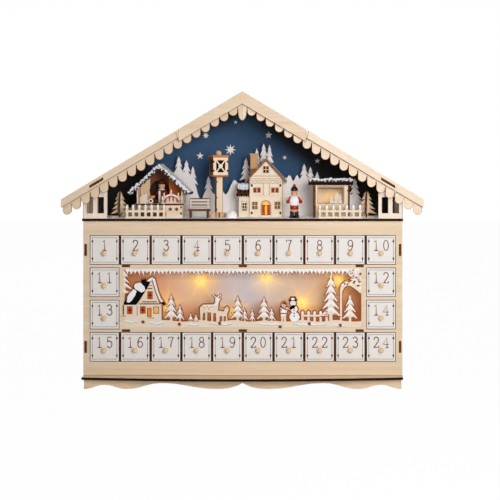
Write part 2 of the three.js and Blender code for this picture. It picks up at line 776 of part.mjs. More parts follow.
// A narrow wall with two panes closes each end of the stage
function endWindow(side) {
  const outer = bodyWidth / 2;
  const inner = outer - endWindowWidth;
  const drop = panelBottomDrop + slopeGap;
  const shape = outline([
    [side * inner, stageHeight], [side * outer, stageHeight], [side * outer, roofLine(outer, drop)],
    [side * inner, roofLine(inner, drop)],
  ]);
  const paneWidth = 7.8;
  const paneFoot = stageHeight + 6.6;
  const paneTop = stageHeight + 26.7;
  for (const x of [inner + 4.4, inner + 17.9]) {
    const left = Math.min(side * x, side * (x + paneWidth));
    shape.holes.push(rectangle(left, paneFoot, left + paneWidth, paneTop));
  }
  return frontSheet(shape, frontY, faceBackY);
}

// Snow hills with firs, one sheet that stands across the back of the stage
function hills() {
  const front = backPanelY - 11;
  const foot = stageHeight;
  const line = new THREE.Shape();
  line.moveTo(-165, foot);
  line.lineTo(160, foot);
  line.lineTo(156, foot + 14);
  line.splineThru([
    [142, 27], [126, 30], [104, 42], [86, 48], [75, 49], [70, 48], [66, 53.8], [61.3, 45], [57, 53.7], [50, 49],
    [36, 62], [22, 68], [8, 56], [-6, 40], [-11, 43], [-16.4, 47], [-24, 31], [-28, 28.5], [-32, 34],
    [-41, 28], [-46, 34], [-50, 37], [-54, 29], [-59, 22], [-62.5, 27], [-67, 43], [-76, 56], [-94, 57],
    [-112, 46], [-132, 26],
  ].map(([x, z]) => new THREE.Vector2(x, foot + z)));
  line.lineTo(-165, foot);
  const firs = [
    [-88, 44, 17, 34, 4], [-78, 46, 15, 27, 3], [-69.6, 37, 14, 28, 3], [-49.3, 22, 15, 30.2, 3],
    [-0.2, 42, 18, 34, 4], [13.8, 52, 15, 36.6, 4], [22.8, 56, 18, 38.8, 4], [30.4, 56, 15, 37, 4],
    [75.6, 42, 15, 26.3, 3], [83.8, 41, 13, 23.3, 3], [92.6, 39, 11, 19, 2], [141.6, 18, 18, 31.4, 4],
  ];
  const sheets = [frontSheet(line, front, front + finePly, 2)];
  for (const [x, z, width, height, tiers] of firs) {
    sheets.push(frontSheet(fir(x, foot + z, width, height, tiers), front, front + finePly));
  }
  return joined(sheets);
}

// Two fir outlines slotted through one another, built round their own middle
function crossFir(height, width) {
  const half = finePly / 2;
  const across = frontSheet(fir(0, stageHeight, width, height, 5), -half, half);
  const along = sideSheet(fir(0, stageHeight, width, height, 5), -half, half);
  const plate = block(2 - width / 2, width / 2 - 2, -4, 4, stageHeight, stageHeight + 1.5);
  return joined([across, along, plate]);
}

function picketFence(left, right, pickets) {
  const y = frontY + fenceSetback;
  const foot = stageHeight;
  const top = foot + fenceHeight;
  const parts = [
    block(left, right, y, y + finePly, foot + 7.4, foot + 10.4),
    block(left, right, y, y + finePly, foot, foot + 2.4),
  ];
  for (let i = 0; i < pickets; i++) {
    const x = left + 2.4 + ((right - left - 4.8) * i) / (pickets - 1);
    const shape = outline([
      [x - 1.6, foot], [x + 1.6, foot], [x + 1.6, top - 1.2], [x, top], [x - 1.6, top - 1.2],
    ]);
    parts.push(frontSheet(shape, y, y + finePly));
  }
  return joined(parts);
}

// The market chalet on the left: a counter with a starred front, side walls and a back, open above
const chaletX = -106;
const chaletHalf = 29;
const chaletFront = -12;
const chaletBack = 20;
const chaletBrace = 8;
const chaletCounter = 18;
const chaletApex = 68;
const chaletRoofHalf = 38.5;
const chaletEaves = 32.5;
const chaletRoofThick = 3;

function chaletSlope() {
  return (chaletApex - chaletEaves) / chaletRoofHalf;
}

function chaletStall() {
  const foot = stageHeight;
  const left = chaletX - chaletHalf;
  const right = chaletX + chaletHalf;
  const counter = foot + chaletCounter;
  const wallTop = foot + chaletApex - chaletSlope() * chaletHalf - chaletRoofThick - slopeGap;
  const apex = wallTop + chaletSlope() * chaletHalf;
  const front = rectangle(left, foot, right, counter - 1);
  for (const x of [left + 42.2, left + 50.2]) {
    front.holes.push(star(x, foot + 10.9, 6, 2.8, 1.4));
  }
  const gable = outline([[left, foot], [right, foot], [right, wallTop], [chaletX, apex], [left, wallTop]]);
  const brace = outline([[left, counter], [right, counter], [right, wallTop], [chaletX, apex], [left, wallTop]]);
  brace.holes.push(disc(chaletX - 3, foot + 34, 13));
  return joined([
    frontSheet(front, chaletFront, chaletFront + finePly),
    frontSheet(gable, chaletBack - finePly, chaletBack),
    frontSheet(brace, chaletBrace, chaletBrace + finePly, 8),
    block(left, left + finePly, chaletFront, chaletBack, foot, wallTop),
    block(right - finePly, right, chaletFront, chaletBack, foot, wallTop),
    block(left - 1.5, right + 1.5, chaletFront - 2, chaletFront + 12, counter - finePly, counter),
    candleArch(chaletX + 14, chaletFront + 3, counter - 0.5),
    toyHouse(left + 8, chaletFront + 3, counter - 0.5),
  ]);
}

// A candle arch on the counter: a half ring with candles round it and a fir and a figure within
function candleArch(x, y, foot) {
  const ring = new THREE.Shape();
  ring.absarc(x, foot, 12.5, 0, Math.PI, false);
  ring.absarc(x, foot, 10.4, Math.PI, 0, true);
  const sheets = [frontSheet(ring, y, y + 1.2, 8), block(x - 12.5, x + 12.5, y, y + 1.2, foot, foot + 1.6)];
  for (const angle of [0.25, 0.7, 1.5708, 2.44, 2.89]) {
    const cx = x + 11.6 * Math.cos(angle);
    const cz = foot + 11.6 * Math.sin(angle);
    sheets.push(block(cx - 0.7, cx + 0.7, y, y + 1.2, cz, cz + 4.6));
  }
  for (const [dx, width, height] of [[-4, 3.5, 7.4], [4.5, 4, 8]]) {
    sheets.push(frontSheet(fir(x + dx, foot + 1, width, height, 2), y, y + 1.2));
  }
  return joined(sheets);
}

function toyHouse(x, y, foot) {
  const shape = outline([[x - 5, foot], [x + 5, foot], [x + 5, foot + 8], [x, foot + 13], [x - 5, foot + 8]]);
  return frontSheet(shape, y, y + 4);
}

// The chalet's roof: two snowy slopes with a scalloped dark edge in front
function chaletRoof() {
  const foot = stageHeight;
  const front = chaletFront - 5;
  const back = chaletBack + 3;
  const fall = chaletSlope();
  const line = (x, drop) => foot + chaletApex - fall * Math.abs(x - chaletX) - drop;
  const left = chaletX - chaletRoofHalf;
  const right = chaletX + chaletRoofHalf;
  const slopes = outline([
    [left, line(left, 0)], [chaletX, line(chaletX, 0)], [right, line(right, 0)],
    [right, line(right, chaletRoofThick)], [chaletX, line(chaletX, chaletRoofThick)],
    [left, line(left, chaletRoofThick)],
  ]);
  const parts = [frontSheet(slopes, front, back)];
  const scallops = 7;
  for (const side of [-1, 1]) {
    for (let i = 0; i < scallops; i++) {
      const x = chaletX + side * (4 + i * 5.2);
      parts.push(frontSheet(disc(x, line(x, 3.6), 3.2), front - 1.5, front + 0.5, 3));
    }
  }
  parts.push(frontSheet(slopes, front - 1.5, front + 0.5));
  return joined(parts);
}

// The bench stands beside the chalet
const benchLength = 27;

function bench() {
  const foot = stageHeight;
  const left = chaletX + chaletHalf + 8;
  const right = left + benchLength;
  const front = chaletFront - 10;
  const parts = [];
  for (const x of [left + 1.4, right - 4]) {
    parts.push(block(x, x + finePly, front, front + 12, foot, foot + 10.6));
    parts.push(block(x, x + finePly, front + 9.5, front + 12, foot, foot + 24));
  }
  parts.push(block(left, right, front - 1, front + 12, foot + 9, foot + 11));
  for (let i = 0; i < 3; i++) {
    const z = foot + 12.8 + 4 * i;
    parts.push(block(left, right, front + 10, front + 12, z, z + 2.8));
  }
  return joined(parts);
}

// The lantern tower: a post of four boards on curled feet carries a lantern with a roof and a ball
const lanternHalf = 9.8;
const lanternPostHalf = 4.1;

function lanternTower() {
  const foot = stageHeight;
  const half = lanternHalf;
  const post = lanternPostHalf;
  const low = 54;
  const high = 76.3;
  const parts = [
    block(finePly - post, post, -post, finePly - post, foot, foot + low),
    block(post - finePly, post, finePly - post - 0.1, post, foot, foot + low),
    block(-post, post - finePly + 0.1, post - finePly, post, foot, foot + low),
    block(-post, finePly - post, -post, post - finePly + 0.1, foot, foot + low),
    frontSheet(curledFoot(foot), -1, 1, 4),
    sideSheet(curledFoot(foot), -1, 1, 4),
    block(-half, half, -half, half, foot + low - 2, foot + low),
    block(-half - 0.8, half + 0.8, -half - 0.8, half + 0.8, foot + high, foot + high + 3),
    ball(3.6, 10, [0, 0, foot + high + 5.2]),
  ];
  for (const [x0, x1, y0, y1] of lanternPosts(half)) {
    parts.push(block(x0, x1, y0, y1, foot + low - 1, foot + high + 1));
  }
  const pane = rectangle(-half, foot + low - 1, half, foot + high + 1);
  for (const hole of lanternHoles(foot + (low + high) / 2)) {
    pane.holes.push(hole);
  }
  parts.push(frontSheet(pane, -half, -half + 1.5));
  parts.push(sideSheet(pane, -half, -half + 1.5));
  return joined(parts);
}

function lanternPosts(half) {
  const width = 1.8;
  const places = [];
  for (const x of [-half, half - width]) {
    for (const y of [-half, half - width]) {
      places.push([x, x + width, y, y + width]);
    }
  }
  return places;
}

// Four three-cornered openings leave a cross in each lantern pane
function lanternHoles(middle) {
  const wide = 5.9;
  const tall = 7.6;
  const bar = 1.3;
  return [
    outline([[-wide, middle - tall + bar], [-wide, middle + tall - bar], [-bar, middle]]),
    outline([[wide, middle - tall + bar], [bar, middle], [wide, middle + tall - bar]]),
    outline([[-wide + bar, middle + tall], [wide - bar, middle + tall], [0, middle + bar]]),
    outline([[-wide + bar, middle - tall], [0, middle - bar], [wide - bar, middle - tall]]),
  ];
}

function curledFoot(foot) {
  const shape = new THREE.Shape();
  shape.moveTo(-10.8, foot);
  shape.lineTo(10.8, foot);
  shape.quadraticCurveTo(11.4, foot + 5.6, 7.6, foot + 6.4);
  shape.lineTo(-7.6, foot + 6.4);
  shape.quadraticCurveTo(-11.4, foot + 5.6, -10.8, foot);
  return shape;
}

// The town house stands before the hills with a low annex on its left
const houseX = 27;
const houseHalf = 21;
const houseFront = 12;
const houseBack = 36;
const houseEaves = 49.4;
const houseApex = 72.6;

function houseSlope() {
  return (houseApex - houseEaves) / houseHalf;
}

function townHouse() {
  const foot = stageHeight;
  const left = houseX - houseHalf;
  const right = houseX + houseHalf;
  const top = foot + houseEaves - slopeGap;
  const wall = [[left, foot], [right, foot], [right, top], [houseX, foot + houseApex - slopeGap], [left, top]];
  const front = outline(wall);
  for (const [x, z, width, height] of houseOpenings()) {
    front.holes.push(rectangle(houseX + x, foot + z, houseX + x + width, foot + z + height));
  }
  front.holes.push(doorway(houseX, foot + 2.4));
  return joined([
    frontSheet(front, houseFront, houseFront + finePly, 5),
    frontSheet(outline(wall), houseBack - finePly, houseBack),
    block(left, left + finePly, houseFront + 0.5, houseBack - 0.5, foot, top - 1),
    block(right - finePly, right, houseFront + 0.5, houseBack - 0.5, foot, top - 1),
    block(left - 0.6, right + 0.6, houseFront - 1, houseFront + 0.5, foot + 26.5, foot + 28),
    block(houseX - 7.5, houseX + 7.5, houseFront - 4, houseFront + 0.5, foot, foot + 2),
    annex(left, foot),
  ]);
}

function houseOpenings() {
  const upper = [-15.9, -10.8, 7.3, 12.5].map((x) => [x, 31.6, 3.4, 5.4]);
  const lower = [[-17.2, 10.3, 5.8, 8.4], [11.6, 10.6, 6, 8.2]];
  return [...upper, ...lower, [-3.2, 56.8, 6.4, 7.8]];
}

function doorway(x, foot) {
  const path = new THREE.Path();
  path.moveTo(x - 5.6, foot);
  path.lineTo(x - 5.6, foot + 12.6);
  path.absarc(x, foot + 12.6, 5.6, Math.PI, 0, true);
  path.lineTo(x + 5.6, foot);
  return path;
}

function annex(right, foot) {
  const left = right - 14;
  const front = houseFront + 2;
  const wall = rectangle(left, foot, right + 1, foot + 27);
  for (const x of [left + 4.6, left + 7.6]) {
    for (const z of [7.7, 11.3, 14.9]) {
      wall.holes.push(rectangle(x, foot + z, x + 2.3, foot + z + 2.8));
    }
  }
  const roof = outline([
    [houseFront, foot + 26], [houseBack - 2, foot + 38], [houseBack - 2, foot + 41], [houseFront - 1, foot + 29.5],
  ]);
  return joined([
    frontSheet(wall, front, front + finePly),
    block(left, left + finePly, front + 0.5, houseBack - 2, foot, foot + 28),
    sideSheet(roof, left - 3, right + 0.5),
  ]);
}

// Two roof slopes with overhanging eaves, and the chimney on the left one
function townHouseRoof() {
  const foot = stageHeight;
  const fall = houseSlope();
  const over = 5;
  const half = houseHalf + over;
  const line = (x, rise) => foot + houseApex - fall * Math.abs(x - houseX) + rise;
  const thick = 3;
  const shape = outline([
    [houseX - half, line(houseX - half, 0)], [houseX, line(houseX, 0)], [houseX + half, line(houseX + half, 0)],
    [houseX + half, line(houseX + half, thick)], [houseX, line(houseX, thick)], [houseX - half, line(houseX - half, thick)],
  ]);
  const chimneyX = houseX - 15.5;
  const chimneyTop = foot + 81.4;
  const [near, far] = [chimneyX - 4.6, chimneyX + 4.6];
  const chimneyShape = outline([
    [near, line(near, thick / 2)], [far, line(far, thick / 2)], [far, chimneyTop], [near, chimneyTop],
  ]);
  const chimney = frontSheet(chimneyShape, houseFront + 1, houseFront + 9);
  const cap = block(chimneyX - 5.4, chimneyX + 5.4, houseFront + 0.2, houseFront + 9.8, chimneyTop - 2, chimneyTop);
  return joined([frontSheet(shape, houseFront - 4, houseBack + 1), chimney, cap]);
}

// A turned and painted figure of an old man in a winter coat, with his arms held out
function figure() {
  const boots = turned([[0, 0], [5.6, 0], [5.9, 1.6], [5, 4.6], [4.2, 8.4], [0, 8.4]], 8);
  const coat = turned([[0, 8], [4.8, 8], [5.4, 10.4], [5.2, 14], [4.4, 20], [4.2, 25.5], [3, 28.2], [0, 28.2]], 8);
  const head = turned([[0, 27.4], [2.6, 27.6], [3.9, 30], [4.1, 33], [3.3, 36], [0, 37]], 8);
  const cap = turned([[0, 35.4], [4.1, 35.4], [4, 37.2], [1.4, 39.2], [0, 39.2]], 8);
  const pom = ball(1.6, 8, [0, 0, 40]);
  const beardShape = new THREE.Shape();
  beardShape.absellipse(0, 23, 5.6, 6.6, 0, 2 * Math.PI, false);
  const beard = frontSheet(beardShape, -5.2, -2.6, 5);
  const parts = [boots, coat, head, cap, pom, beard];
  for (const side of [-1, 1]) {
    const arm = new THREE.CylinderGeometry(2.1, 1.6, 8.5, 8);
    arm.rotateZ(side * 1.25);
    arm.rotateX(Math.PI / 2);
    arm.translate(side * 6, 0, 24.4);
    parts.push(solidOf(arm));
    parts.push(ball(1.9, 8, [side * 9.2, 0, 23.2]));
  }
  return joined(parts);
}

// The kiosk on the right: a framed front with a counter, side walls, a back and a flat snowy roof
const kioskLeft = 87.5;
const kioskRight = 134;
const kioskFront = -10;
const kioskBack = 20;
const kioskTop = 42;

function kiosk() {
  const foot = stageHeight;
  const top = foot + kioskTop;
  const counter = foot + 17;
  const frame = rectangle(kioskLeft, foot, kioskRight, top);
  frame.holes.push(rectangle(kioskLeft + 6.4, counter + 1.4, kioskRight - 7.6, foot + 39));
  const goods = fir(kioskLeft + 31, counter, 12, 15, 3);
  return joined([
    frontSheet(frame, kioskFront, kioskFront + finePly),
    block(kioskLeft, kioskRight, kioskBack - finePly, kioskBack, foot, top),
    block(kioskLeft, kioskLeft + finePly, kioskFront - 2, kioskBack - 0.5, foot, top),
    block(kioskRight - finePly, kioskRight, kioskFront - 2, kioskBack - 0.5, foot, top),
    block(kioskLeft + 1, kioskRight - 1, kioskFront + 1, kioskFront + 12, counter - 0.6, counter + 1.4),
    frontSheet(goods, kioskFront + 5, kioskFront + 6.5),
    kioskRoof(foot),
  ]);
}

// The roof boards hang over with a waved lower edge and a snowy upper one
function kioskRoof(foot) {
  const left = kioskLeft - 6;
  const right = kioskRight + 4;
  const bumps = 9;
  const step = (right - left) / bumps;
  const shape = new THREE.Shape();
  shape.moveTo(left, foot + kioskTop);
  for (let i = 0; i < bumps; i++) {
    shape.quadraticCurveTo(left + (i + 0.5) * step, foot + kioskTop - 2.4, left + (i + 1) * step, foot + kioskTop);
  }
  shape.lineTo(right, foot + kioskTop + 6);
  for (let i = 0; i < bumps; i++) {
    shape.quadraticCurveTo(right - (i + 0.5) * step, foot + kioskTop + 12, right - (i + 1) * step, foot + kioskTop + 6);
  }
  return joined([
    frontSheet(shape, kioskFront - 4, kioskFront - 1.5, 3),
    block(left, right, kioskFront - 2, kioskBack + 2, foot + kioskTop - 0.5, foot + kioskTop + 4),
  ]);
}

// The box for two battery cells, its mouth in the back panel's cut-out and closed by a lid in grooves
function batteryBox() {
  const half = batteryBoxWidth / 2;
  const front = backPanelY - batteryBoxDepth;
  const [low, high] = [batteryBoxFoot, batteryBoxFoot + batteryBoxHeight];
  const wall = batteryBoxWall;
  const lidRight = lidWidth - half;
  const rim = lidBackY() + slideGap + lidLip;
  const cellLow = low + wall + lidLedge;
  const cellHigh = high - wall - lidLedge;
  const shell = block(-half, half, front, rim, low, high);
  const cells = block(-half + wall, lidRight - wall, front + wall, rim + 1, cellLow, cellHigh);
  const groove = block(
    -half - 1, lidRight + slideGap, backPanelY - slideGap, lidBackY() + slideGap,
    low + wall - slideGap, high - wall + slideGap,
  );
  const mouth = block(-half - 1, lidRight + slideGap, lidBackY(), rim + 1, cellLow, cellHigh);
  const switchBed = block(lidRight + wall, half + 1, backPanelY + 1.4, rim + 1, low - 1, high + 1);
  const middle = (low + high) / 2;
  const divider = block(-half + 1, lidRight - 1, front + 1, front + 6, middle - 0.8, middle + 0.8);
  return [cells, groove, mouth, switchBed, switchPocket()].reduce((box, cut) => box.subtract(cut), shell).add(divider);
}

function lidBackY() {
  return backPanelY + lidThickness;
}

function switchX() {
  return (batteryBoxWidth - switchStrip) / 2;
}

function switchPocket() {
  const z = batteryBoxFoot + batteryBoxHeight / 2;
  const halfX = switchWidth / 2 + slideGap;
  const halfZ = (switchHeight + switchTravel) / 2 + slideGap;
  return block(switchX() - halfX, switchX() + halfX, backPanelY - 6, backY, z - halfZ, z + halfZ);
}

function batteryLid() {
  const left = -batteryBoxWidth / 2;
  const low = batteryBoxFoot + batteryBoxWall;
  const high = batteryBoxFoot + batteryBoxHeight - batteryBoxWall;
  const parts = [block(left, left + lidWidth, backPanelY, lidBackY(), low, high)];
  for (let i = 0; i < 4; i++) {
    const x = left + 6 + 2.4 * i;
    parts.push(block(x, x + 1, lidBackY() - 0.5, lidBackY() + 0.8, low + 8, high - 8));
  }
  return joined(parts);
}

function lampSwitch() {
  const z = batteryBoxFoot + batteryBoxHeight / 2 - switchTravel / 2;
  const half = switchHeight / 2;
  const front = backPanelY - 5;
  return block(switchX() - switchWidth / 2, switchX() + switchWidth / 2, front, backY - 0.1, z - half, z + half);
}

// A stretch of wire through hand-laid points
function wire(points, steps) {
  const path = new THREE.CatmullRomCurve3(points.map((p) => new THREE.Vector3(...p)), false, 'centripetal');
  const section = new THREE.Shape();
  const sides = 5;
  for (let i = 0; i < sides; i++) {
    const angle = (2 * Math.PI * i) / sides;
    const place = [(wireDiameter / 2) * Math.cos(angle), (wireDiameter / 2) * Math.sin(angle)];
    if (i === 0) {
      section.moveTo(...place);
    } else {
      section.lineTo(...place);
    }
  }
  return solidOf(new THREE.ExtrudeGeometry(section, { steps, bevelEnabled: false, extrudePath: path }));
}

// A lamp: a small capsule that points to the front
function bulb(x, y, z) {
  const radius = bulbDiameter / 2;
  const shoulder = bulbLength - 2.4;
  const profile = [[0, 0], [radius, 0], [radius, shoulder], [radius * 0.6, bulbLength - 0.6], [0, bulbLength]];
  const geometry = new THREE.LatheGeometry(profile.map(([r, h]) => new THREE.Vector2(r, h)), 7);
  return solidOf(geometry.rotateX(Math.PI).translate(x, y, z));
}

// One light string: behind the backdrop, past the battery box and up behind the drawers to the stage
function lightString() {
  const bayY = backdropFront + ply + 2.2;
  const riseY = backPanelY - wireDiameter;
  const low = shelfTop(rows - 2);
  const leadZ = batteryBoxFoot - wireHole;
  const lamps = windowBulbs.map(([x, rise]) => [x, low + rise]);
  const route = [];
  lamps.forEach(([x, z], i) => {
    route.push([x, bayY, z]);
    if (i < lamps.length - 1) {
      route.push([(x + lamps[i + 1][0]) / 2, bayY, (z + lamps[i + 1][1]) / 2]);
    }
  });
  const [leadX, lampZ] = lamps[2];
  const bay = wire(route, 22);
  const lead = wire([
    [leadX, bayY, lampZ], [leadX + 6, bayY + 5, leadZ], [0, bayY + 14, leadZ],
    [0, riseY - 14, leadZ], [0, riseY - 6, leadZ],
  ], 12);
  const rise = wire([
    [0, riseY - 8, leadZ], [-14, riseY - 4, leadZ], [-36, riseY - 1, leadZ + 2], [wireRiseX, riseY, leadZ + 14],
    [wireRiseX, riseY, leadZ + 70], [wireRiseX, riseY, stageHeight - 8], [wireRiseX, riseY - 2.4, stageHeight],
    [wireRiseX + 3, riseY - 4, stageHeight + 6], [wireRiseX + 10, riseY - 4, stageHeight + 6],
  ], 14);
  const bulbs = lamps.map(([x, z]) => bulb(x, bayY + 0.5, z));
  return joined([bay, lead, rise, ...bulbs, stageWire(riseY - 4, stageHeight + 6)]);
}

// On the stage the string runs behind the foot of the hills, with lamps behind the chalet, house and kiosk
function stageWire(y, z) {
  const run = wire([[-108, y, z], [-60, y, z], [4, y, z], [60, y, z], [112, y, z]], 8);
  const lamps = [-100, -20, 27, 104].map((x) => stageLamp(x, y, z));
  return joined([run, ...lamps]);
}

function stageLamp(x, y, z) {
  const geometry = new THREE.CapsuleGeometry(bulbDiameter / 2, bulbLength - bulbDiameter, 2, 6);
  return solidOf(geometry.rotateX(Math.PI / 2).translate(x, y, z));
}

// A drawer: tray, painted front and turned knob glued together, drawn round its own front's middle
function drawer() {
  const front = frontY;
  const foot = -frontHeight / 2;
  const half = columnPitch / 2 - ply / 2 - traySideGap;
  const end = faceBackY + trayLength;
  const plate = block(-frontWidth / 2, frontWidth / 2, front, faceBackY, foot, foot + frontHeight);
  const tray = block(-half, half, faceBackY - 1, end, foot, foot + trayHeight);
  const hollow = block(-half + trayWall, half - trayWall, faceBackY, end - trayWall, foot + trayWall, foot + trayHeight + 1);
  const knob = ball(knobDiameter / 2, 8, [0, front - knobDiameter / 2 + knobSink, -knobDrop]);
  return joined([plate, tray.subtract(hollow), knob]);
}

// Number, row and column of every drawer, counted along each row from the left
function drawerPlaces() {
  const places = [];
  for (let row = 0; row < rows; row++) {
    const ends = row > 0 && row < rows - 1;
    for (let column = 0; column < columns; column++) {
      if (!ends || column === 0 || column === columns - 1) {
        places.push([row, column]);
      }
    }
  }
  return places;
}

addPiece('base_board', baseBoard(), woodColour);
addPiece('skirt', skirt(), woodColour);
addPiece('side_panel_left', sidePanel(-1), woodColour);
addPiece('side_panel_right', sidePanel(1), woodColour);
addPiece('face_board', faceBoard(), woodColour);
addPiece('drawer_rack', drawerRack(), woodColour);
addPiece('window_backdrop', windowBackdrop(), warmColour);
addPiece('back_panel', backPanel(), woodColour);
addPiece('stage_floor', stageFloor(), snowColour);
addPiece('bargeboard_ridge', bargeboardRidge(), woodColour);
addPiece('bargeboard_left', bargeboard(-1), woodColour);
addPiece('bargeboard_right', bargeboard(1), woodColour);
addPiece('scallop_board_left', scallopBoard(-1), woodColour);
addPiece('scallop_board_right', scallopBoard(1), woodColour);
addPiece('roof_panel_left', roofPanel(-1), woodColour);
addPiece('roof_panel_right', roofPanel(1), woodColour);
addPiece('sky_board', skyBoard(), nightColour);
addPiece('end_window_left', endWindow(-1), woodColour);
addPiece('end_window_right', endWindow(1), woodColour);
addPiece('hills', hills(), snowColour);
addPiece('chalet_stall', chaletStall(), woodColour);
addPiece('chalet_roof', chaletRoof(), burntColour);
addPiece('fence_left', picketFence(leftFenceX, leftFenceX + leftFenceLength, 7), whiteColour);
addPiece('bench', bench(), whiteColour);
const tower = addPiece('lantern_tower', lanternTower(), woodColour);
tower.position.set(towerX, 2, 0);
tower.rotation.z = THREE.MathUtils.degToRad(20);
addPiece('town_house', townHouse(), woodColour);
addPiece('town_house_roof', townHouseRoof(), burntColour);
const oldMan = addPiece('figure', figure(), redColour, 0.5);
oldMan.position.set(64, -16, stageHeight);
addPiece('kiosk', kiosk(), whiteColour);
addPiece('fence_right', picketFence(rightFenceX, rightFenceX + rightFenceLength, 7), whiteColour);
const leftFir = addPiece('fir_left', crossFir(firHeight, leftFirWidth), woodColour);
leftFir.position.set(leftFirX, firY, 0);
const rightFir = addPiece('fir_right', crossFir(firHeight, rightFirWidth), woodColour);
rightFir.position.set(rightFirX, firY, 0);
rightFir.rotation.z = THREE.MathUtils.degToRad(-9);
addPiece('light_string', lightString(), wireColour, 0.6);
addPiece('battery_box', batteryBox(), blackColour, 0.5);
addPiece('battery_lid', batteryLid(), blackColour, 0.5);
addPiece('lamp_switch', lampSwitch(), blackColour, 0.5);

const drawerSolid = drawer();
drawerPlaces().forEach(([row, column], index) => {
  const name = `drawer_${String(index + 1).padStart(2, '0')}`;
  const mesh = addPiece(name, drawerSolid, whiteColour, 0.6);
  mesh.position.set(columnCentre(column), 0, rowCentre(row));
});

export default calendar;
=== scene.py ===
import math
import random

import bmesh
import bpy
from mathutils import Matrix, Vector
from mathutils.geometry import tessellate_polygon


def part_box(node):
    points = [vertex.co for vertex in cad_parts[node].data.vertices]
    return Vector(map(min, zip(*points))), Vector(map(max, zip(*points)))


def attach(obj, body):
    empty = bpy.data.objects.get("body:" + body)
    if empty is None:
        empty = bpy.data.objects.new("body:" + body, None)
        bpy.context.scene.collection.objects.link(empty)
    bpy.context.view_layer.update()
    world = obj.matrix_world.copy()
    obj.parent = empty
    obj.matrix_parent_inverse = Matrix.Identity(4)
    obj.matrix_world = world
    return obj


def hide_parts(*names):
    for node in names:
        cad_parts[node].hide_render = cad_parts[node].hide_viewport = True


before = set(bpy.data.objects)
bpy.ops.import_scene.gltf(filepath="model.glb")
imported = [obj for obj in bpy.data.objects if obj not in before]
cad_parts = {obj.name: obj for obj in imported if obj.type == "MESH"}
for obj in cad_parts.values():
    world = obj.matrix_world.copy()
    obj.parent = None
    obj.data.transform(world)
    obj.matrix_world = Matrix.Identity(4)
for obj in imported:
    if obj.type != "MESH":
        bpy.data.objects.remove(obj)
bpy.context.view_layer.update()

bl_info = {
    "name": "Advent Calendar",
    "version": (1, 0, 0),
    "blender": (4, 5, 0),
    "location": "View3D > Sidebar > Calendar",
    "description": "Finishes a wooden advent calendar with numbered drawers and a winter village",
    "category": "Object",
}

# Lengths are in millimetres, apart from those in node trees, lights and the camera, which are in metres
MM = 0.001
STAGE_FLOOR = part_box("stage_floor")[0].z / MM + 3
FACE_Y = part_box("face_board")[0].y / MM
# Stand for no limit and for a level over the whole calendar
WHOLE = 999
ABOVE = 400
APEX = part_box("bargeboard_ridge")[1].z / MM
ROOF_ANGLE = math.radians(30.8)
ROOF_SLOPE = math.tan(ROOF_ANGLE)


def linear(red, green, blue):
    """A colour written as a screen shows it, as the shader wants it"""
    parts = [value / 255 for value in (red, green, blue)]
    return tuple(p / 12.92 if p <= 0.04045 else ((p + 0.055) / 1.055) ** 2.4 for p in parts)


BURNT_DARK = linear(52, 28, 17)
BURNT_BROWN = linear(128, 78, 44)
BEECH = linear(222, 178, 128)
PEACH = linear(236, 178, 138)
COAT_RED = linear(168, 26, 24)
BLACKENED = (linear(14, 9, 8), linear(34, 20, 14))
ROOF_SNOW = linear(244, 245, 250)


# Nodes


class Wiring:
    """Adds and links the nodes of one material or geometry tree"""

    def __init__(self, tree):
        self.tree = tree

    def node(self, kind, inputs=(), **settings):
        made = self.tree.nodes.new(kind)
        for name, value in settings.items():
            setattr(made, name, value)
        self.feed(made, inputs)
        return made

    def feed(self, node, inputs):
        """Links or sets inputs of a node"""
        for key, value in dict(inputs).items():
            if isinstance(value, bpy.types.NodeSocket):
                self.tree.links.new(value, node.inputs[key])
            else:
                node.inputs[key].default_value = value

    def math(self, operation, *values):
        return self.node("ShaderNodeMath", enumerate(values), operation=operation).outputs[0]

    def mix(self, share, first, second):
        colours = [(*c, 1) if isinstance(c, tuple) and len(c) == 3 else c for c in (first, second)]
        return self.node("ShaderNodeMix", {0: share, 6: colours[0], 7: colours[1]}, data_type="RGBA").outputs[2]

    def coordinates(self, kind="Object"):
        return self.node("ShaderNodeTexCoord").outputs[kind]

    def axes(self, vector):
        return self.node("ShaderNodeSeparateXYZ", {0: vector}).outputs

    def noise(self, place, scale, detail=2.0, **more):
        values = {"Vector": place, "Scale": scale, "Detail": detail, **more}
        return self.node("ShaderNodeTexNoise", values).outputs["Fac"]

    def spread(self, value, low, high, first, last, **settings):
        """Takes the range from low to high to the one from first to last"""
        return self.node("ShaderNodeMapRange", {0: value, 1: low, 2: high, 3: first, 4: last}, **settings).outputs[0]

    def bump(self, height, strength, distance):
        return self.node("ShaderNodeBump", {"Strength": strength, "Distance": distance, "Height": height}).outputs[0]


def new_material(name, roughness, specular=0.35):
    material = bpy.data.materials.new(name)
    material.use_nodes = True
    wiring, shader = Wiring(material.node_tree), material.node_tree.nodes["Principled BSDF"]
    wiring.feed(shader, {"Roughness": roughness, "Specular IOR Level": specular})
    return material, wiring, shader


def grain(wiring, along, tilt):
    """Fine fibres and a broad figure, both drawn out along the grain"""
    values = {"Vector": wiring.coordinates(), "Rotation": (0, tilt, 0),
              "Scale": [30 if axis == along else 1 for axis in "XYZ"]}
    turned = wiring.node("ShaderNodeMapping", values, vector_type="TEXTURE").outputs[0]
    return wiring.noise(turned, 1500, 4, Roughness=0.6), wiring.noise(turned, 160, 3, Distortion=0.8)


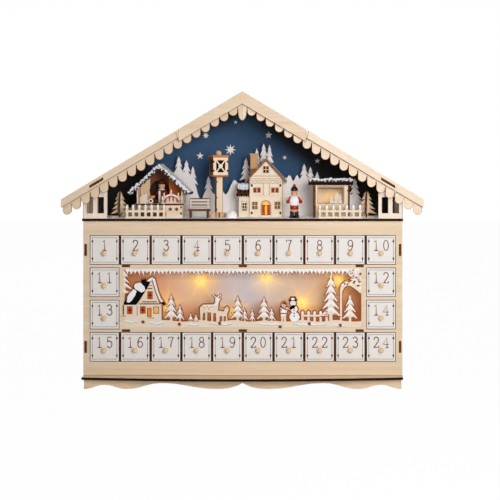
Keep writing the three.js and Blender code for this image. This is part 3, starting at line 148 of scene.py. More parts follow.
def patch(wiring, rule, own):
    """1 where a rule holds: ("across", axis, low, high) for faces that don't look along an axis, ("along", ...)
    for those that do, ("up",) for those that look up and ("in", axis, low, high) for a slice of the piece"""
    place, facing = own
    if rule[0] == "up":
        return wiring.math("GREATER_THAN", facing[2], 0.3)
    kind, axis, low, high = rule
    index = "XYZ".index(axis)
    offset = wiring.math("ABSOLUTE", wiring.math("SUBTRACT", place[index], (low + high) / 2 * MM))
    inside = wiring.math("LESS_THAN", offset, (high - low) / 2 * MM)
    if kind == "in":
        return inside
    slant = wiring.math("ABSOLUTE", facing[index])
    turned = wiring.math("LESS_THAN" if kind == "across" else "GREATER_THAN", slant, 0.6)
    return wiring.math("MULTIPLY", inside, turned)


def own_axes(wiring, turned):
    """Place and facing as the piece itself has them, for a piece turned on the stage about (x, y)"""
    coordinates = wiring.node("ShaderNodeTexCoord").outputs
    place, facing = coordinates["Object"], coordinates["Normal"]
    if turned:
        x, y, degrees = turned
        angle = (0, 0, math.radians(degrees))
        place = wiring.node("ShaderNodeMapping", {"Vector": place, "Location": (x * MM, y * MM, 0), "Rotation": angle},
                            vector_type="TEXTURE").outputs[0]
        facing = wiring.node("ShaderNodeMapping", {"Vector": facing, "Rotation": angle},
                             vector_type="TEXTURE").outputs[0]
    return wiring.axes(place), wiring.axes(facing)


def patches(wiring, rules, own):
    """1 where every rule of a group holds"""
    total = 1.0
    for rule in rules:
        total = wiring.math("MULTIPLY", patch(wiring, rule, own), total)
    return total


ALONG_X, ALONG_Y, ALONG_Z = (("along", axis, -WHOLE, WHOLE) for axis in "XYZ")
ACROSS_X, ACROSS_Y, ACROSS_Z = (("across", axis, -WHOLE, WHOLE) for axis in "XYZ")
SHEET_EDGE = ((ACROSS_Y,),)


def sheet_wood(name, light, dark, along="X", tilt=0.0, cuts=SHEET_EDGE, char=(BURNT_DARK, BURNT_BROWN),
               coats=(), turned=None, glow=0.0):
    """Laser-cut plywood: pale faces with fine grain, charred cuts, and coats of paint laid over them; glow stands
    in for lamplight"""
    material, wiring, shader = new_material(name, 0.58)
    own = own_axes(wiring, turned)
    fine, broad = grain(wiring, along, tilt)
    figure = wiring.spread(broad, 0.3, 0.7, 0.0, 0.62)
    fibre = wiring.spread(fine, 0.35, 0.75, 0.0, 0.4)
    colour = wiring.mix(wiring.math("ADD", figure, fibre), light, dark)
    for rules, coat in coats:
        pale = tuple(min(1.0, c * 1.03) for c in coat)
        deep = tuple(c * 0.93 for c in coat)
        painted = wiring.mix(wiring.math("MULTIPLY", fine, 0.9), pale, deep)
        colour = wiring.mix(patches(wiring, rules, own), colour, painted)
    charred = wiring.mix(wiring.noise(wiring.coordinates(), 420.0, 3), *char)
    burnt = 0.0
    for rules in cuts:
        burnt = wiring.math("MAXIMUM", patches(wiring, rules, own), burnt)
    colour = wiring.mix(burnt, colour, charred)
    wiring.feed(shader, {
        "Base Color": colour,
        "Specular IOR Level": wiring.math("MULTIPLY_ADD", burnt, -0.2, 0.25),
        "Normal": wiring.bump(fine, 0.35, 0.00006),
        "Roughness": wiring.spread(fine, 0, 1, 0.5, 0.68),
    })
    if glow:
        wiring.feed(shader, {"Emission Color": colour, "Emission Strength": glow})
    return material


def paint(name, colour, roughness=0.45, scale=700.0, depth=0.05, glow=None, specular=0.25):
    """Brushed paint or turned wood with faint unevenness; glow adds light of its own"""
    material, wiring, shader = new_material(name, roughness, specular)
    uneven = wiring.noise(wiring.coordinates(), scale, 4)
    pale = tuple(min(1.0, c * (1 + depth)) for c in colour)
    deep = tuple(c * (1 - 2.5 * depth) for c in colour)
    wiring.feed(shader, {"Base Color": wiring.mix(uneven, pale, deep), "Normal": wiring.bump(uneven, 0.25, 0.0001)})
    if glow:
        wiring.feed(shader, {"Emission Color": (*colour, 1), "Emission Strength": glow})
    return material


# Geometry Nodes


def new_tree(name, inputs):
    tree = bpy.data.node_groups.new(name, "GeometryNodeTree")
    tree.interface.new_socket(name="Geometry", in_out="INPUT", socket_type="NodeSocketGeometry")
    for label, kind in inputs:
        tree.interface.new_socket(name=label, in_out="INPUT", socket_type=kind)
    tree.interface.new_socket(name="Geometry", in_out="OUTPUT", socket_type="NodeSocketGeometry")
    wiring = Wiring(tree)
    return tree, wiring, wiring.node("NodeGroupInput").outputs


def close_tree(wiring, geometry, material):
    realized = wiring.node("GeometryNodeRealizeInstances", {0: geometry}).outputs[0]
    finished = wiring.node("GeometryNodeSetMaterial", {"Geometry": realized, "Material": material}).outputs[0]
    wiring.node("NodeGroupOutput", {0: finished})


def line_tree():
    """A bead of the given width along every path of the source, for scored and painted lines"""
    tree, wiring, given = new_tree(
        "bead_on_path", [("Width", "NodeSocketFloat"), ("Sides", "NodeSocketInt"), ("Finish", "NodeSocketMaterial")]
    )
    radius = wiring.math("MULTIPLY", given["Width"], 0.5)
    circle = wiring.node("GeometryNodeCurvePrimitiveCircle", {"Resolution": given["Sides"], "Radius": radius})
    curve = wiring.node("GeometryNodeMeshToCurve", {"Mesh": given["Geometry"]}).outputs[0]
    bead = wiring.node("GeometryNodeCurveToMesh",
                       {"Curve": curve, "Profile Curve": circle.outputs[0], "Fill Caps": True})
    close_tree(wiring, bead.outputs[0], given["Finish"])
    return tree


def grain_tree():
    """A smooth grain on every point of the source, stretched and varied in size, for dots, lumps and flames"""
    tree, wiring, given = new_tree(
        "grain_on_point",
        [("Radius", "NodeSocketFloat"), ("Stretch", "NodeSocketVector"), ("Variation", "NodeSocketFloat"),
         ("Detail", "NodeSocketInt"), ("Seed", "NodeSocketInt"), ("Finish", "NodeSocketMaterial")],
    )
    ball = wiring.node("GeometryNodeMeshIcoSphere", {"Radius": given["Radius"], "Subdivisions": given["Detail"]})
    smooth = wiring.node("GeometryNodeSetShadeSmooth", {"Geometry": ball.outputs[0]}).outputs[0]
    sizes = []
    for operation in ("SUBTRACT", "ADD"):
        share = wiring.math(operation, 1.0, given["Variation"])
        sizes.append(wiring.node("ShaderNodeVectorMath", {0: given["Stretch"], 3: share}, operation="SCALE").outputs[0])
    chance = wiring.node("FunctionNodeRandomValue", {0: sizes[0], 1: sizes[1], 8: given["Seed"]},
                         data_type="FLOAT_VECTOR")
    placed = wiring.node(
        "GeometryNodeInstanceOnPoints", {"Points": given["Geometry"], "Instance": smooth, "Scale": chance.outputs[0]}
    )
    close_tree(wiring, placed.outputs[0], given["Finish"])
    return tree


def new_object(name, data):
    made = bpy.data.objects.new(name, data)
    bpy.context.scene.collection.objects.link(made)
    return made


def grown(tree, points, edges, values):
    """The tree's result on loose points or on joined-up paths, as a plain mesh"""
    mesh = bpy.data.meshes.new("source")
    mesh.from_pydata([Vector(p) * MM for p in points], edges, [])
    source = new_object("source", mesh)
    modifier = source.modifiers.new("grow", "NODES")
    modifier.node_group = tree
    for item in tree.interface.items_tree:
        if item.in_out == "INPUT" and item.name in values:
            modifier[item.identifier] = values[item.name]
    depsgraph = bpy.context.evaluated_depsgraph_get()
    result = bpy.data.meshes.new_from_object(source.evaluated_get(depsgraph), depsgraph=depsgraph)
    source.modifiers.remove(modifier)
    bpy.data.objects.remove(source)
    bpy.data.meshes.remove(mesh)
    return result


# Pieces


TREES = {}
FINISHES = {}
BEAD_SIDES = 6


def finish_of(finish):
    """A finish by its name, or a material as it is"""
    return FINISHES[finish] if isinstance(finish, str) else finish


class Piece:
    """One mesh put together from sheets, blocks, turned shapes, beads and grains"""

    def __init__(self, name, *finishes):
        self.name = name
        self.finishes = [finish_of(finish) for finish in finishes]
        self.mesh = bmesh.new()

    def finish_index(self, finish):
        finish = finish_of(finish)
        if finish not in self.finishes:
            self.finishes.append(finish)
        return self.finishes.index(finish)

    def add_face(self, corners, finish, smooth=False):
        face = self.mesh.faces.new(corners)
        face.material_index = self.finish_index(finish)
        face.smooth = smooth

    def sheet(self, outline, front, back, finish, holes=()):
        """A flat outline of (x, z) points between two depths, with its holes open"""
        rings = [outline, *holes]
        triangles = tessellate_polygon([[Vector((x, z, 0)) for x, z in ring] for ring in rings])
        flat = [p for ring in rings for p in ring]
        near = [self.mesh.verts.new((x * MM, front * MM, z * MM)) for x, z in flat]
        far = [self.mesh.verts.new((x * MM, back * MM, z * MM)) for x, z in flat]
        for a, b, c in triangles:
            self.add_face((near[a], near[b], near[c]), finish)
            self.add_face((far[c], far[b], far[a]), finish)
        start = 0
        for ring in rings:
            count = len(ring)
            for i in range(count):
                a, b = start + i, start + (i + 1) % count
                self.add_face((near[a], near[b], far[b], far[a]), finish)
            start += count

    def coat(self, outline, finish, lift=0.0):
        """A flat outline painted on the face board"""
        self.sheet(outline, PAINT_FRONT - lift, PAINT_BACK, finish)

    def block(self, low, high, finish):
        (x0, y0, z0), (x1, y1, z1) = low, high
        self.sheet([(x0, z0), (x1, z0), (x1, z1), (x0, z1)], y0, y1, finish)

    def turned(self, profile, place, finish, sides=24, turn=None):
        """A profile of (radius, height) points spun round an upright line through a place"""
        matrix = Matrix.Translation(Vector(place) * MM) @ (turn or Matrix.Identity(4))
        rings = []
        for radius, height in profile:
            if radius < 1e-6:
                rings.append([self.mesh.verts.new(matrix @ Vector((0, 0, height * MM)))])
                continue
            ring = []
            for i in range(sides):
                angle = 2 * math.pi * i / sides
                point = Vector((radius * math.cos(angle), radius * math.sin(angle), height)) * MM
                ring.append(self.mesh.verts.new(matrix @ point))
            rings.append(ring)
        for lower, upper in zip(rings, rings[1:]):
            for i in range(sides):
                j = (i + 1) % sides
                corners = [lower[i % len(lower)], lower[j % len(lower)], upper[j % len(upper)], upper[i % len(upper)]]
                self.add_face(list(dict.fromkeys(corners)), finish, smooth=True)

    def ball(self, radius, place, finish, stretch=(1, 1, 1), sides=20):
        steps = sides // 2
        profile = [
            (radius * math.sin(math.pi * i / steps), -radius * stretch[2] * math.cos(math.pi * i / steps))
            for i in range(steps + 1)
        ]
        profile[0], profile[-1] = (0, profile[0][1]), (0, profile[-1][1])
        shape = Matrix.Diagonal((stretch[0], stretch[1], 1, 1))
        self.turned(profile, place, finish, sides, shape)

    def absorb(self, mesh, finish):
        """Takes in a grown mesh under one finish"""
        known = len(self.mesh.faces)
        self.mesh.from_mesh(mesh)
        self.mesh.faces.ensure_lookup_table()
        index = self.finish_index(finish)
        for face in self.mesh.faces[known:]:
            face.material_index = index
        bpy.data.meshes.remove(mesh)

    def lines(self, paths, y, width, finish, sink=0.28):
        """Scored lines: beads along (x, z) paths, mostly sunk into the face at depth y"""
        points, edges = [], []
        for path in paths:
            closed = len(path) > 2 and math.dist(path[0], path[-1]) < 1e-6
            ring = path[:-1] if closed else path
            first = len(points)
            points += [(x, y + sink * width, z) for x, z in ring]
            edges += [(first + i, first + i + 1) for i in range(len(ring) - 1)]
            if closed:
                edges.append((first + len(ring) - 1, first))
        values = {"Width": width * MM, "Sides": BEAD_SIDES, "Finish": finish_of(finish)}
        self.absorb(grown(TREES["line"], points, edges, values), finish)

    def grains(self, points, radius, finish, stretch=(1, 1, 1), variation=0.0, seed=1, detail=2):
        values = {"Radius": radius * MM, "Stretch": stretch, "Variation": variation, "Detail": detail,
                  "Seed": seed, "Finish": finish_of(finish)}
        self.absorb(grown(TREES["grain"], points, [], values), finish)

    def done(self, body="cabinet", replaces=()):
        bmesh.ops.recalc_face_normals(self.mesh, faces=self.mesh.faces)
        mesh = bpy.data.meshes.new(self.name)
        self.mesh.to_mesh(mesh)
        self.mesh.free()
        for finish in self.finishes:
            mesh.materials.append(finish)
        made = new_object(self.name, mesh)
        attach(made, body)
        if replaces:
            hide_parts(*replaces)


def dress(finish, *nodes):
    """Gives CAD boards their finish"""
    for node in nodes:
        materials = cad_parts[node].data.materials
        materials.clear()
        materials.append(finish_of(finish))


def smooth_path(points, steps=6):
    """A rounded path through points"""
    padded = [points[0], *points, points[-1]]
    path = []
    for a, b, c, d in zip(padded, padded[1:], padded[2:], padded[3:]):
        for i in range(steps):
            t = i / steps
            path.append(tuple(
                0.5 * (2 * q + (r - p) * t + (2 * p - 5 * q + 4 * r - s) * t * t + (3 * q - p - 3 * r + s) * t ** 3)
                for p, q, r, s in zip(a, b, c, d)
            ))
    return [*path, points[-1]]


def rotation(degrees, axis):
    return Matrix.Rotation(math.radians(degrees), 4, axis)


def turn_about(turned):
    """Puts what is drawn round the upright axis of a turned piece in its place on the stage"""
    x, y, degrees = turned
    return Matrix.Translation(Vector((x, y, 0)) * MM) @ rotation(degrees, "Z")


def cut_paths(node, y, aside=0.0, low=(-WHOLE, -WHOLE), high=(WHOLE, WHOLE), turned=(0, 0, 0)):
    """Closed (x, z) paths along the cuts of a board's face at depth y, moved aside into the opening; a turned
    piece has its own x, y and z"""
    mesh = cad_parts[node].data
    back = turn_about(turned).inverted()
    rest = {}
    for polygon in mesh.polygons:
        corners = [back @ mesh.vertices[i].co / MM for i in polygon.vertices]
        if (back.to_3x3() @ polygon.normal).y > -0.9 or any(abs(c.y - y) > 0.05 for c in corners):
            continue
        keys = [(round(c.x, 2), round(c.z, 2)) for c in corners]
        for a, b in zip(keys, keys[1:] + keys[:1]):
            if (b, a) in rest:
                del rest[(b, a)]
            else:
                rest[(a, b)] = True
    following = {a: b for a, b in rest}
    paths = []
    while following:
        start, path = next(iter(following)), []
        at = start
        while at in following:
            path.append(at)
            at = following.pop(at)
        if len(path) < 3 or any(not (low[0] <= x <= high[0] and low[1] <= z <= high[1]) for x, z in path):
            continue
        aside_path = []
        for a, b, c in zip(path[-1:] + path[:-1], path, path[1:] + path[:1]):
            sideways = Vector((c[1] - a[1], a[0] - c[0]))
            sideways = sideways.normalized() * aside if sideways.length > 1e-6 else sideways
            aside_path.append((b[0] + sideways.x, b[1] + sideways.y))
        paths.append([*aside_path, aside_path[0]])
    return paths


def oval(x, z, wide, tall, steps=20):
    return [(x + wide * math.cos(2 * math.pi * i / steps), z + tall * math.sin(2 * math.pi * i / steps))
            for i in range(steps + 1)]


def disc(x, z, radius, steps=20):
    return oval(x, z, radius, radius, steps)[:-1]


def arc(x, z, radius, steps):
    """A half circle from its right end over its top"""
    return [(x + radius * math.cos(math.pi * i / steps), z + radius * math.sin(math.pi * i / steps))
            for i in range(steps + 1)]


def small_fir(x, foot, wide, tall, waist, level):
    """A fir with one notch on each side, waist wide at a level given as a share of its height"""
    middle = foot + tall * level
    return [(x - wide / 2, foot), (x + wide / 2, foot), (x + wide * waist, middle), (x + wide * 0.32, middle),
            (x, foot + tall), (x - wide * 0.32, middle), (x - wide * waist, middle)]


def moved(points, x, z):
    return [(x + a, z + b) for a, b in points]


def frame_path(left, low, right, high):
    return [(left, low), (right, low), (right, high), (left, high), (left, low)]


def star_outline(x, z, points, outer, inner):
    corners = []
    for i in range(2 * points):
        radius = outer if i % 2 == 0 else inner
        angle = math.pi / 2 + i * math.pi / points
        corners.append((x + radius * math.cos(angle), z + radius * math.sin(angle)))
    return corners


# Settings


def colour_setting(label, text, red, green, blue):
    return bpy.props.FloatVectorProperty(
        name=label, description=text, default=linear(red, green, blue), subtype="COLOR", size=3, min=0, max=1
    )


def length_setting(label, text, size):
    return bpy.props.FloatProperty(name=label, description=text, default=size * MM, unit="LENGTH", precision=5)


class CALENDAR_PG_wood(bpy.types.PropertyGroup):
    light: colour_setting("Pale wood", "Light bands of the plywood", 241, 223, 197)
    dark: colour_setting("Deep wood", "Dark bands of the plywood", 223, 197, 165)
    white: colour_setting("White paint", "Paint of the drawer fronts, fences and snow", 240, 237, 234)
    night: colour_setting("Night blue", "Paint of the sky behind the village", 60, 92, 128)


class CALENDAR_PG_drawers(bpy.types.PropertyGroup):
    digit_height: length_setting("Digit height", "Height of the scored numbers", 12.8)
    digit_width: length_setting("Digit width", "Width of one scored number", 7.3)
    digit_top: length_setting("Digit top", "Height of the numbers' top over the front's middle", 12.1)
    digit_pitch: length_setting("Digit pitch", "Distance between the two digits of a number", 12.2)
    line_width: length_setting("Line width", "Width of the scored numbers' line", 1.6)
    frame_inset: length_setting("Frame inset", "Distance of the scored frame from the front's edge", 2.9)
    knob_diameter: length_setting("Knob diameter", "Diameter of the turned knobs", 6.5)


class CALENDAR_PG_scallops(bpy.types.PropertyGroup):
    pitch: length_setting("Pitch", "Distance from tongue to tongue", 11.46)
    width: length_setting("Width", "Width of a tongue", 10.4)
    slit_drop: length_setting("Slit drop", "Depth under the roof line at which the slits begin", 13)
    tip_drop: length_setting("Tip drop", "Depth of the tongues' tips under the roof line", 23.4)


class CALENDAR_PG_studio(bpy.types.PropertyGroup):
    distance: length_setting("Camera distance", "Distance from the camera to the cabinet's front", 1500)
    height: length_setting("Camera height", "Height of the camera over the table", 290)
    aside: length_setting("Camera aside", "Camera's place to the right of the middle", 100)
    lens: bpy.props.FloatProperty(name="Lens", description="Focal length on a 36 mm sensor", default=86.4)
    key: bpy.props.FloatProperty(name="Key light", description="Power of the right light", default=6.3, unit="POWER")
    fill: bpy.props.FloatProperty(name="Fill light", description="Power of the left light", default=0.42, unit="POWER")


class CALENDAR_PG_all(bpy.types.PropertyGroup):
    wood: bpy.props.PointerProperty(type=CALENDAR_PG_wood)
    drawers: bpy.props.PointerProperty(type=CALENDAR_PG_drawers)
    scallops: bpy.props.PointerProperty(type=CALENDAR_PG_scallops)
    studio: bpy.props.PointerProperty(type=CALENDAR_PG_studio)


# Finishes


def make_finishes(settings):
    light, dark = tuple(settings.wood.light), tuple(settings.wood.dark)
    white = tuple(settings.wood.white)
    both_faces = (ALONG_Y,)
    front_face = (("along", "Y", FACE_Y - 1, FACE_Y + 2),)
    FINISHES.update(
        wood_x=sheet_wood("plywood_level", light, dark),
        wood_z=sheet_wood("plywood_upright", light, dark, along="Z"),
        wood_left=sheet_wood("plywood_left_slope", light, dark, tilt=-ROOF_ANGLE),
        # The right slope's wood is paler than the left's: painted light, where the key light falls from the right
        wood_right=sheet_wood("lit_plywood_right_slope", linear(250, 234, 211), linear(236, 213, 184), tilt=ROOF_ANGLE),
        ridge=sheet_wood("plywood_ridge", light, dark),
        pale=sheet_wood("pale_plywood", linear(251, 240, 226), linear(241, 225, 206), along="Z"),
        skirt=sheet_wood("plywood_skirt", light, dark,
                         cuts=((("across", "Y", -WHOLE, -28.5), ("in", "X", -194.9, 194.9)), (ALONG_Z,))),
        board=sheet_wood("plywood_board", light, dark, cuts=((ACROSS_Z,),), char=BLACKENED),
        side=sheet_wood("plywood_side", light, dark, along="Z", cuts=((ACROSS_X,),)),
        roof=sheet_wood("plywood_roof", light, dark, along="Y", cuts=((ALONG_Y,), (("across", "Y", -WHOLE, -33.9),))),
        rack=sheet_wood("plywood_rack", light, dark, along="Y", cuts=((ALONG_Y,),)),
        face=sheet_wood("plywood_face", light, dark, char=(linear(120, 62, 28), linear(190, 118, 62)),
                        coats=(((ALONG_Y, ("in", "X", -148, 148), ("in", "Z", 77, 149)), linear(240, 226, 204)),)),
        # The floor's glow is painted light that brightens the snowy stage floor
        floor=sheet_wood("snowy_floor", light, dark, char=BLACKENED, glow=0.08,
                         cuts=((("across", "Z", 0, STAGE_FLOOR + 0.1), ("in", "Z", 0, STAGE_FLOOR - 0.01)),),
                         coats=(((("in", "Z", STAGE_FLOOR - 0.2, ABOVE),), linear(254, 251, 247)),)),
        drawer=sheet_wood("drawer_wood", light, dark, along="Y", cuts=((("across", "Y", -29, -25.02),),),
                          coats=((front_face, white),)),
        # The hills' glow is painted light
        hills=sheet_wood("snow_hills", light, dark, glow=0.02, coats=((both_faces, linear(246, 245, 248)),),
                         char=(linear(205, 200, 200), linear(180, 172, 168))),
        fence=sheet_wood("fence_white", light, dark, cuts=((ACROSS_Y, ACROSS_Z),), coats=(
            (both_faces, linear(244, 228, 204)),
            ((ALONG_Y, ("in", "Z", STAGE_FLOOR + 13, ABOVE)), linear(250, 249, 248)))),
        bench=sheet_wood("bench_paint", light, dark, coats=((both_faces, linear(226, 216, 202)),),
                         cuts=((("in", "Z", STAGE_FLOOR - 1, STAGE_FLOOR + 11),),)),
        burnt=paint("burnt_line", linear(118, 74, 46), 0.85, specular=0.05),
        char=paint("charred", linear(40, 20, 12), 0.85, specular=0.05),
        black=paint("black_paint", linear(12, 11, 12), 0.8, specular=0.05),
        snow=paint("snow_paint", linear(251, 250, 252), 0.7, depth=0.02),
        white=paint("white_paint", white, 0.5),
        beech=paint("turned_beech", BEECH, 0.38, scale=260),
        peach=paint("peach_paint", PEACH, 0.35),
        red=paint("red_paint", COAT_RED, 0.28),
        brown=paint("brown_paint", linear(82, 44, 26), 0.7, specular=0.08),
        scorch=paint("scorched_line", linear(164, 98, 48), 0.85, specular=0.05),
        # Char in an orange of painted lamplight and shade, for the cut edges in the lit window
        amber_char=paint("amber_char", linear(178, 96, 40), 0.85, scale=300, depth=0.15, specular=0.05),
        umber=paint("umber_line", linear(112, 62, 32), 0.85, specular=0.05),
        # Grey beads of painted shade, drawn round the hills' outline
        ash=paint("ash_line", linear(150, 140, 134), 0.8, specular=0.1),
        knob=paint("turned_knob", linear(240, 210, 168), 0.35, scale=260),
        slate=paint("slate_line", linear(92, 94, 108), 0.7, specular=0.1),
        toffee=paint("toffee_pane", linear(150, 92, 44), 0.5, specular=0.1),
        maroon=paint("maroon_paint", linear(74, 16, 10), 0.6, specular=0.1),
        dark_red=paint("dark_red_paint", linear(132, 42, 20), 0.6),
        ember=paint("ember_paint", linear(222, 128, 44), 0.5, glow=0.3),
        embers=paint("glowing_card", linear(190, 84, 32), 0.6, scale=300, depth=0.2, glow=0.12),
        black_gloss=paint("black_gloss", linear(16, 15, 17), 0.25),
        blush=paint("blush", linear(222, 96, 72), 0.5),
        # Its glow is painted light on the town house's door leaves and small windows
        deep_red=paint("glowing_deep_red_pane", linear(150, 26, 10), 0.4, glow=0.12),
        wine=paint("wine_paint", linear(112, 24, 22), 0.4),
        frost=paint("frost", linear(236, 242, 250), 0.55, scale=900, depth=0.03),
        pane_red=paint("red_pane", linear(206, 76, 28), 0.4, glow=0.3),
        pane_amber=paint("amber_pane", linear(240, 178, 52), 0.4, glow=0.45),
        flame=paint("flame", linear(255, 196, 96), 0.4, glow=1.1),
        lamp=paint("window_lamp", linear(255, 220, 130), 0.4, glow=0.55),
    )


# Cabinet


BENCH_FRONT = -12


def dress_cabinet():
    for finish, *nodes in (("board", "base_board"), ("skirt", "skirt"), ("side", "side_panel_left", "side_panel_right"),
                           ("face", "face_board"), ("rack", "drawer_rack"), ("wood_x", "back_panel"),
                           ("floor", "stage_floor"), ("pale", "end_window_left", "end_window_right"),
                           ("fence", "fence_left", "fence_right"), ("bench", "bench"), ("hills", "hills")):
        dress(finish, *nodes)
    edges = Piece("village_edges", "ash")
    for node, aside, width, finish in (
        # The grey beads round the hills' outline are painted shade
        ("hills", 0.0, 0.75, "ash"), ("bench", 0.1, 0.6, "umber"), ("fence_left", 0.1, 0.6, "umber"),
        ("fence_right", 0.1, 0.6, "umber"), ("end_window_left", 0.1, 0.7, "umber"),
        ("end_window_right", 0.1, 0.7, "umber"),
    ):
        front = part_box(node)[0].y / MM if node != "bench" else BENCH_FRONT
        paths = cut_paths(node, front, aside)
        if paths:
            edges.lines(paths, front, width, finish)
    # Umber bars between the bench's back slats are painted shade in the gaps
    for i in range(3):
        edges.block((-68.5, -11.6, STAGE_FLOOR + 15.5 + 4 * i), (-42.5, -10.6, STAGE_FLOOR + 16.9 + 4 * i), "umber")
    edges.lines([[(-199, 16.4), (199, 16.4)]], FACE_Y, 0.6, "burnt")
    edges.done()


def dress_roof(settings):
    dress("ridge", "bargeboard_ridge")
    dress("wood_left", "bargeboard_left")
    dress("wood_right", "bargeboard_right")
    dress("roof", "roof_panel_left", "roof_panel_right")
    scallops = settings.scallops
    for side, name, finish in ((-1, "left", "wood_left"), (1, "right", "wood_right")):
        board = Piece(f"scallops_{name}", finish)
        board.sheet(*scallop_outline(side, scallops), finish, [tab_hole(side)])
        board.done(replaces=(f"scallop_board_{name}",))
    seams = Piece("roof_seams", "umber")
    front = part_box("bargeboard_ridge")[0].y / MM
    for side in (-1, 1):
        seams.lines([[(side * 0.5, roof_line(0, 15.8)), (side * 79, roof_line(79, 15.6))],
                     [(side * 79, roof_line(79, 10.5)), (side * 224, roof_line(224, 10.5))]], front + 0.3, 0.7, "umber")
        seams.lines([[(side * 82.6, roof_line(79, 0.6) - 2), (side * 79, roof_line(79, 15.4))]], front, 0.5, "burnt")
        tips = [(side * x, z) for x, z in scallop_outline(1, scallops)[0][1:]]
        seams.lines([tips], front + 3, 0.45, "scorch")
    seams.done()


def roof_line(x, drop):
    return APEX - ROOF_SLOPE * abs(x) - drop


def scallop_outline(side, scallops):
    """A board under the roof line that ends in tongues with round tips, and a long pendant at the ridge"""
    pitch, width = scallops.pitch / MM, scallops.width / MM
    slit, drop = scallops.slit_drop / MM, scallops.tip_drop / MM
    front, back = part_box("scallop_board_left")[0].y / MM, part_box("scallop_board_left")[1].y / MM
    points = [(0.1, roof_line(0, 2.5)), (0.1, roof_line(0, 36)), (1.5, roof_line(0, 35.8)),
              (3.4, roof_line(0, 33.4)), (4.6, roof_line(0, 30.4)), (4.9, roof_line(0, 27))]
    count = 19
    for i in range(1, count + 1):
        x = i * pitch
        points.append((max(x - width / 2, 5.6 if i == 1 else 0), roof_line(x - pitch / 2, slit)))
        centre = roof_line(x, drop) + width / 2
        for j in range(13):
            angle = math.pi * (1 + j / 12)
            points.append((x + width / 2 * math.cos(angle), centre + width / 2 * math.sin(angle)))
        last = i == count
        points.append((x + width / 2, roof_line(x + width / 2, 2.5) if last else roof_line(x + pitch / 2, slit)))
    return [(side * x, z) for x, z in points], front, back


def tab_hole(side):
    """The slot that lets the roof panel's tab through"""
    return [(side * x, roof_line(x, drop)) for x, drop in ((172.2, 3.8), (189.8, 3.8), (189.8, 7.6), (172.2, 7.6))]


# Drawers


DRAWERS = 24
RIM_INSET = 0.25
DOT_INSET = 7.3
KNOB_DROP = 4


def digit_strokes():
    """The digits in strokes on a square of one by one"""
    six = smooth_path([(0.84, 0.88), (0.62, 1.0), (0.34, 0.9), (0.14, 0.6), (0.1, 0.3)])
    return {
        "0": [oval(0.5, 0.5, 0.4, 0.5)],
        "1": [[(0.2, 0.82), (0.5, 1.0), (0.5, 0.0)], [(0.16, 0.0), (0.84, 0.0)]],
        "2": [smooth_path([(0.12, 0.74), (0.24, 0.95), (0.55, 1.0), (0.84, 0.88), (0.84, 0.64), (0.5, 0.3),
                           (0.08, 0.0)]),
              [(0.08, 0.0), (0.92, 0.0), (0.92, 0.16)]],
        "3": [smooth_path([(0.12, 0.84), (0.34, 0.99), (0.66, 0.98), (0.84, 0.8), (0.72, 0.6), (0.42, 0.54)]),
              smooth_path([(0.42, 0.54), (0.78, 0.48), (0.92, 0.26), (0.74, 0.04), (0.4, 0.0), (0.08, 0.16)])],
        "4": [[(0.68, 0.0), (0.68, 1.0), (0.05, 0.3), (0.96, 0.3)], [(0.44, 0.0), (0.92, 0.0)]],
        "5": [[(0.84, 1.0), (0.22, 1.0), (0.17, 0.52)],
              smooth_path([(0.17, 0.52), (0.45, 0.63), (0.8, 0.54), (0.92, 0.3), (0.74, 0.04), (0.4, 0.0),
                           (0.1, 0.14)])],
        "6": [six, oval(0.5, 0.3, 0.4, 0.3)],
        "7": [[(0.08, 0.82), (0.08, 1.0), (0.92, 1.0)], smooth_path([(0.92, 1.0), (0.6, 0.55), (0.46, 0.0)])],
        "8": [oval(0.5, 0.76, 0.33, 0.24), oval(0.5, 0.27, 0.42, 0.27)],
        "9": [[(1 - x, 1 - z) for x, z in six], oval(0.5, 0.7, 0.4, 0.3)],
    }


def number_paths(text, x, z, sizes):
    """The strokes of a number whose top middle is at (x, z)"""
    strokes = digit_strokes()
    width, height = sizes.digit_width / MM, sizes.digit_height / MM
    paths = []
    for i, digit in enumerate(text):
        left = x + (i - (len(text) - 1) / 2) * sizes.digit_pitch / MM - width / 2
        for stroke in strokes[digit]:
            paths.append([(left + a * width, z - height + b * height) for a, b in stroke])
    return paths


def make_drawers(settings):
    sizes = settings.drawers
    for number in range(1, DRAWERS + 1):
        node = f"drawer_{number:02d}"
        dress("drawer", node)
        low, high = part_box(node)
        left, right = low.x / MM, high.x / MM
        foot, top = low.z / MM, high.z / MM
        x, z = (left + right) / 2, (foot + top) / 2
        inset = sizes.frame_inset / MM
        trim = Piece(f"{node}_trim", "burnt")
        trim.lines(number_paths(str(number), x, z + sizes.digit_top / MM, sizes), FACE_Y, sizes.line_width / MM,
                   "burnt")
        outer = frame_path(left + RIM_INSET, foot + RIM_INSET, right - RIM_INSET, top - RIM_INSET)
        inner = frame_path(left + inset, foot + inset, right - inset, top - inset)
        trim.lines([outer], FACE_Y, 1.05, "brown")
        trim.lines([inner], FACE_Y, 0.85, "burnt")
        dots = [(side, FACE_Y, level) for side in (left + inset, right - inset)
                for level in (foot + DOT_INSET, top - DOT_INSET)]
        trim.grains(dots, 1.2, "char", stretch=(0.85, 0.25, 1.4))
        radius = sizes.knob_diameter / MM / 2
        neck = [(0, -0.2), (1.5, -0.2), (1.3, 0.6), (1.6, 1.1)]
        trim.turned(neck, (x, FACE_Y, z - KNOB_DROP), "knob", 20, rotation(90, "X"))
        trim.ball(radius, (x, FACE_Y - radius + 0.45, z - KNOB_DROP), "knob", sides=28)
        trim.done(node)


# Fretwork window


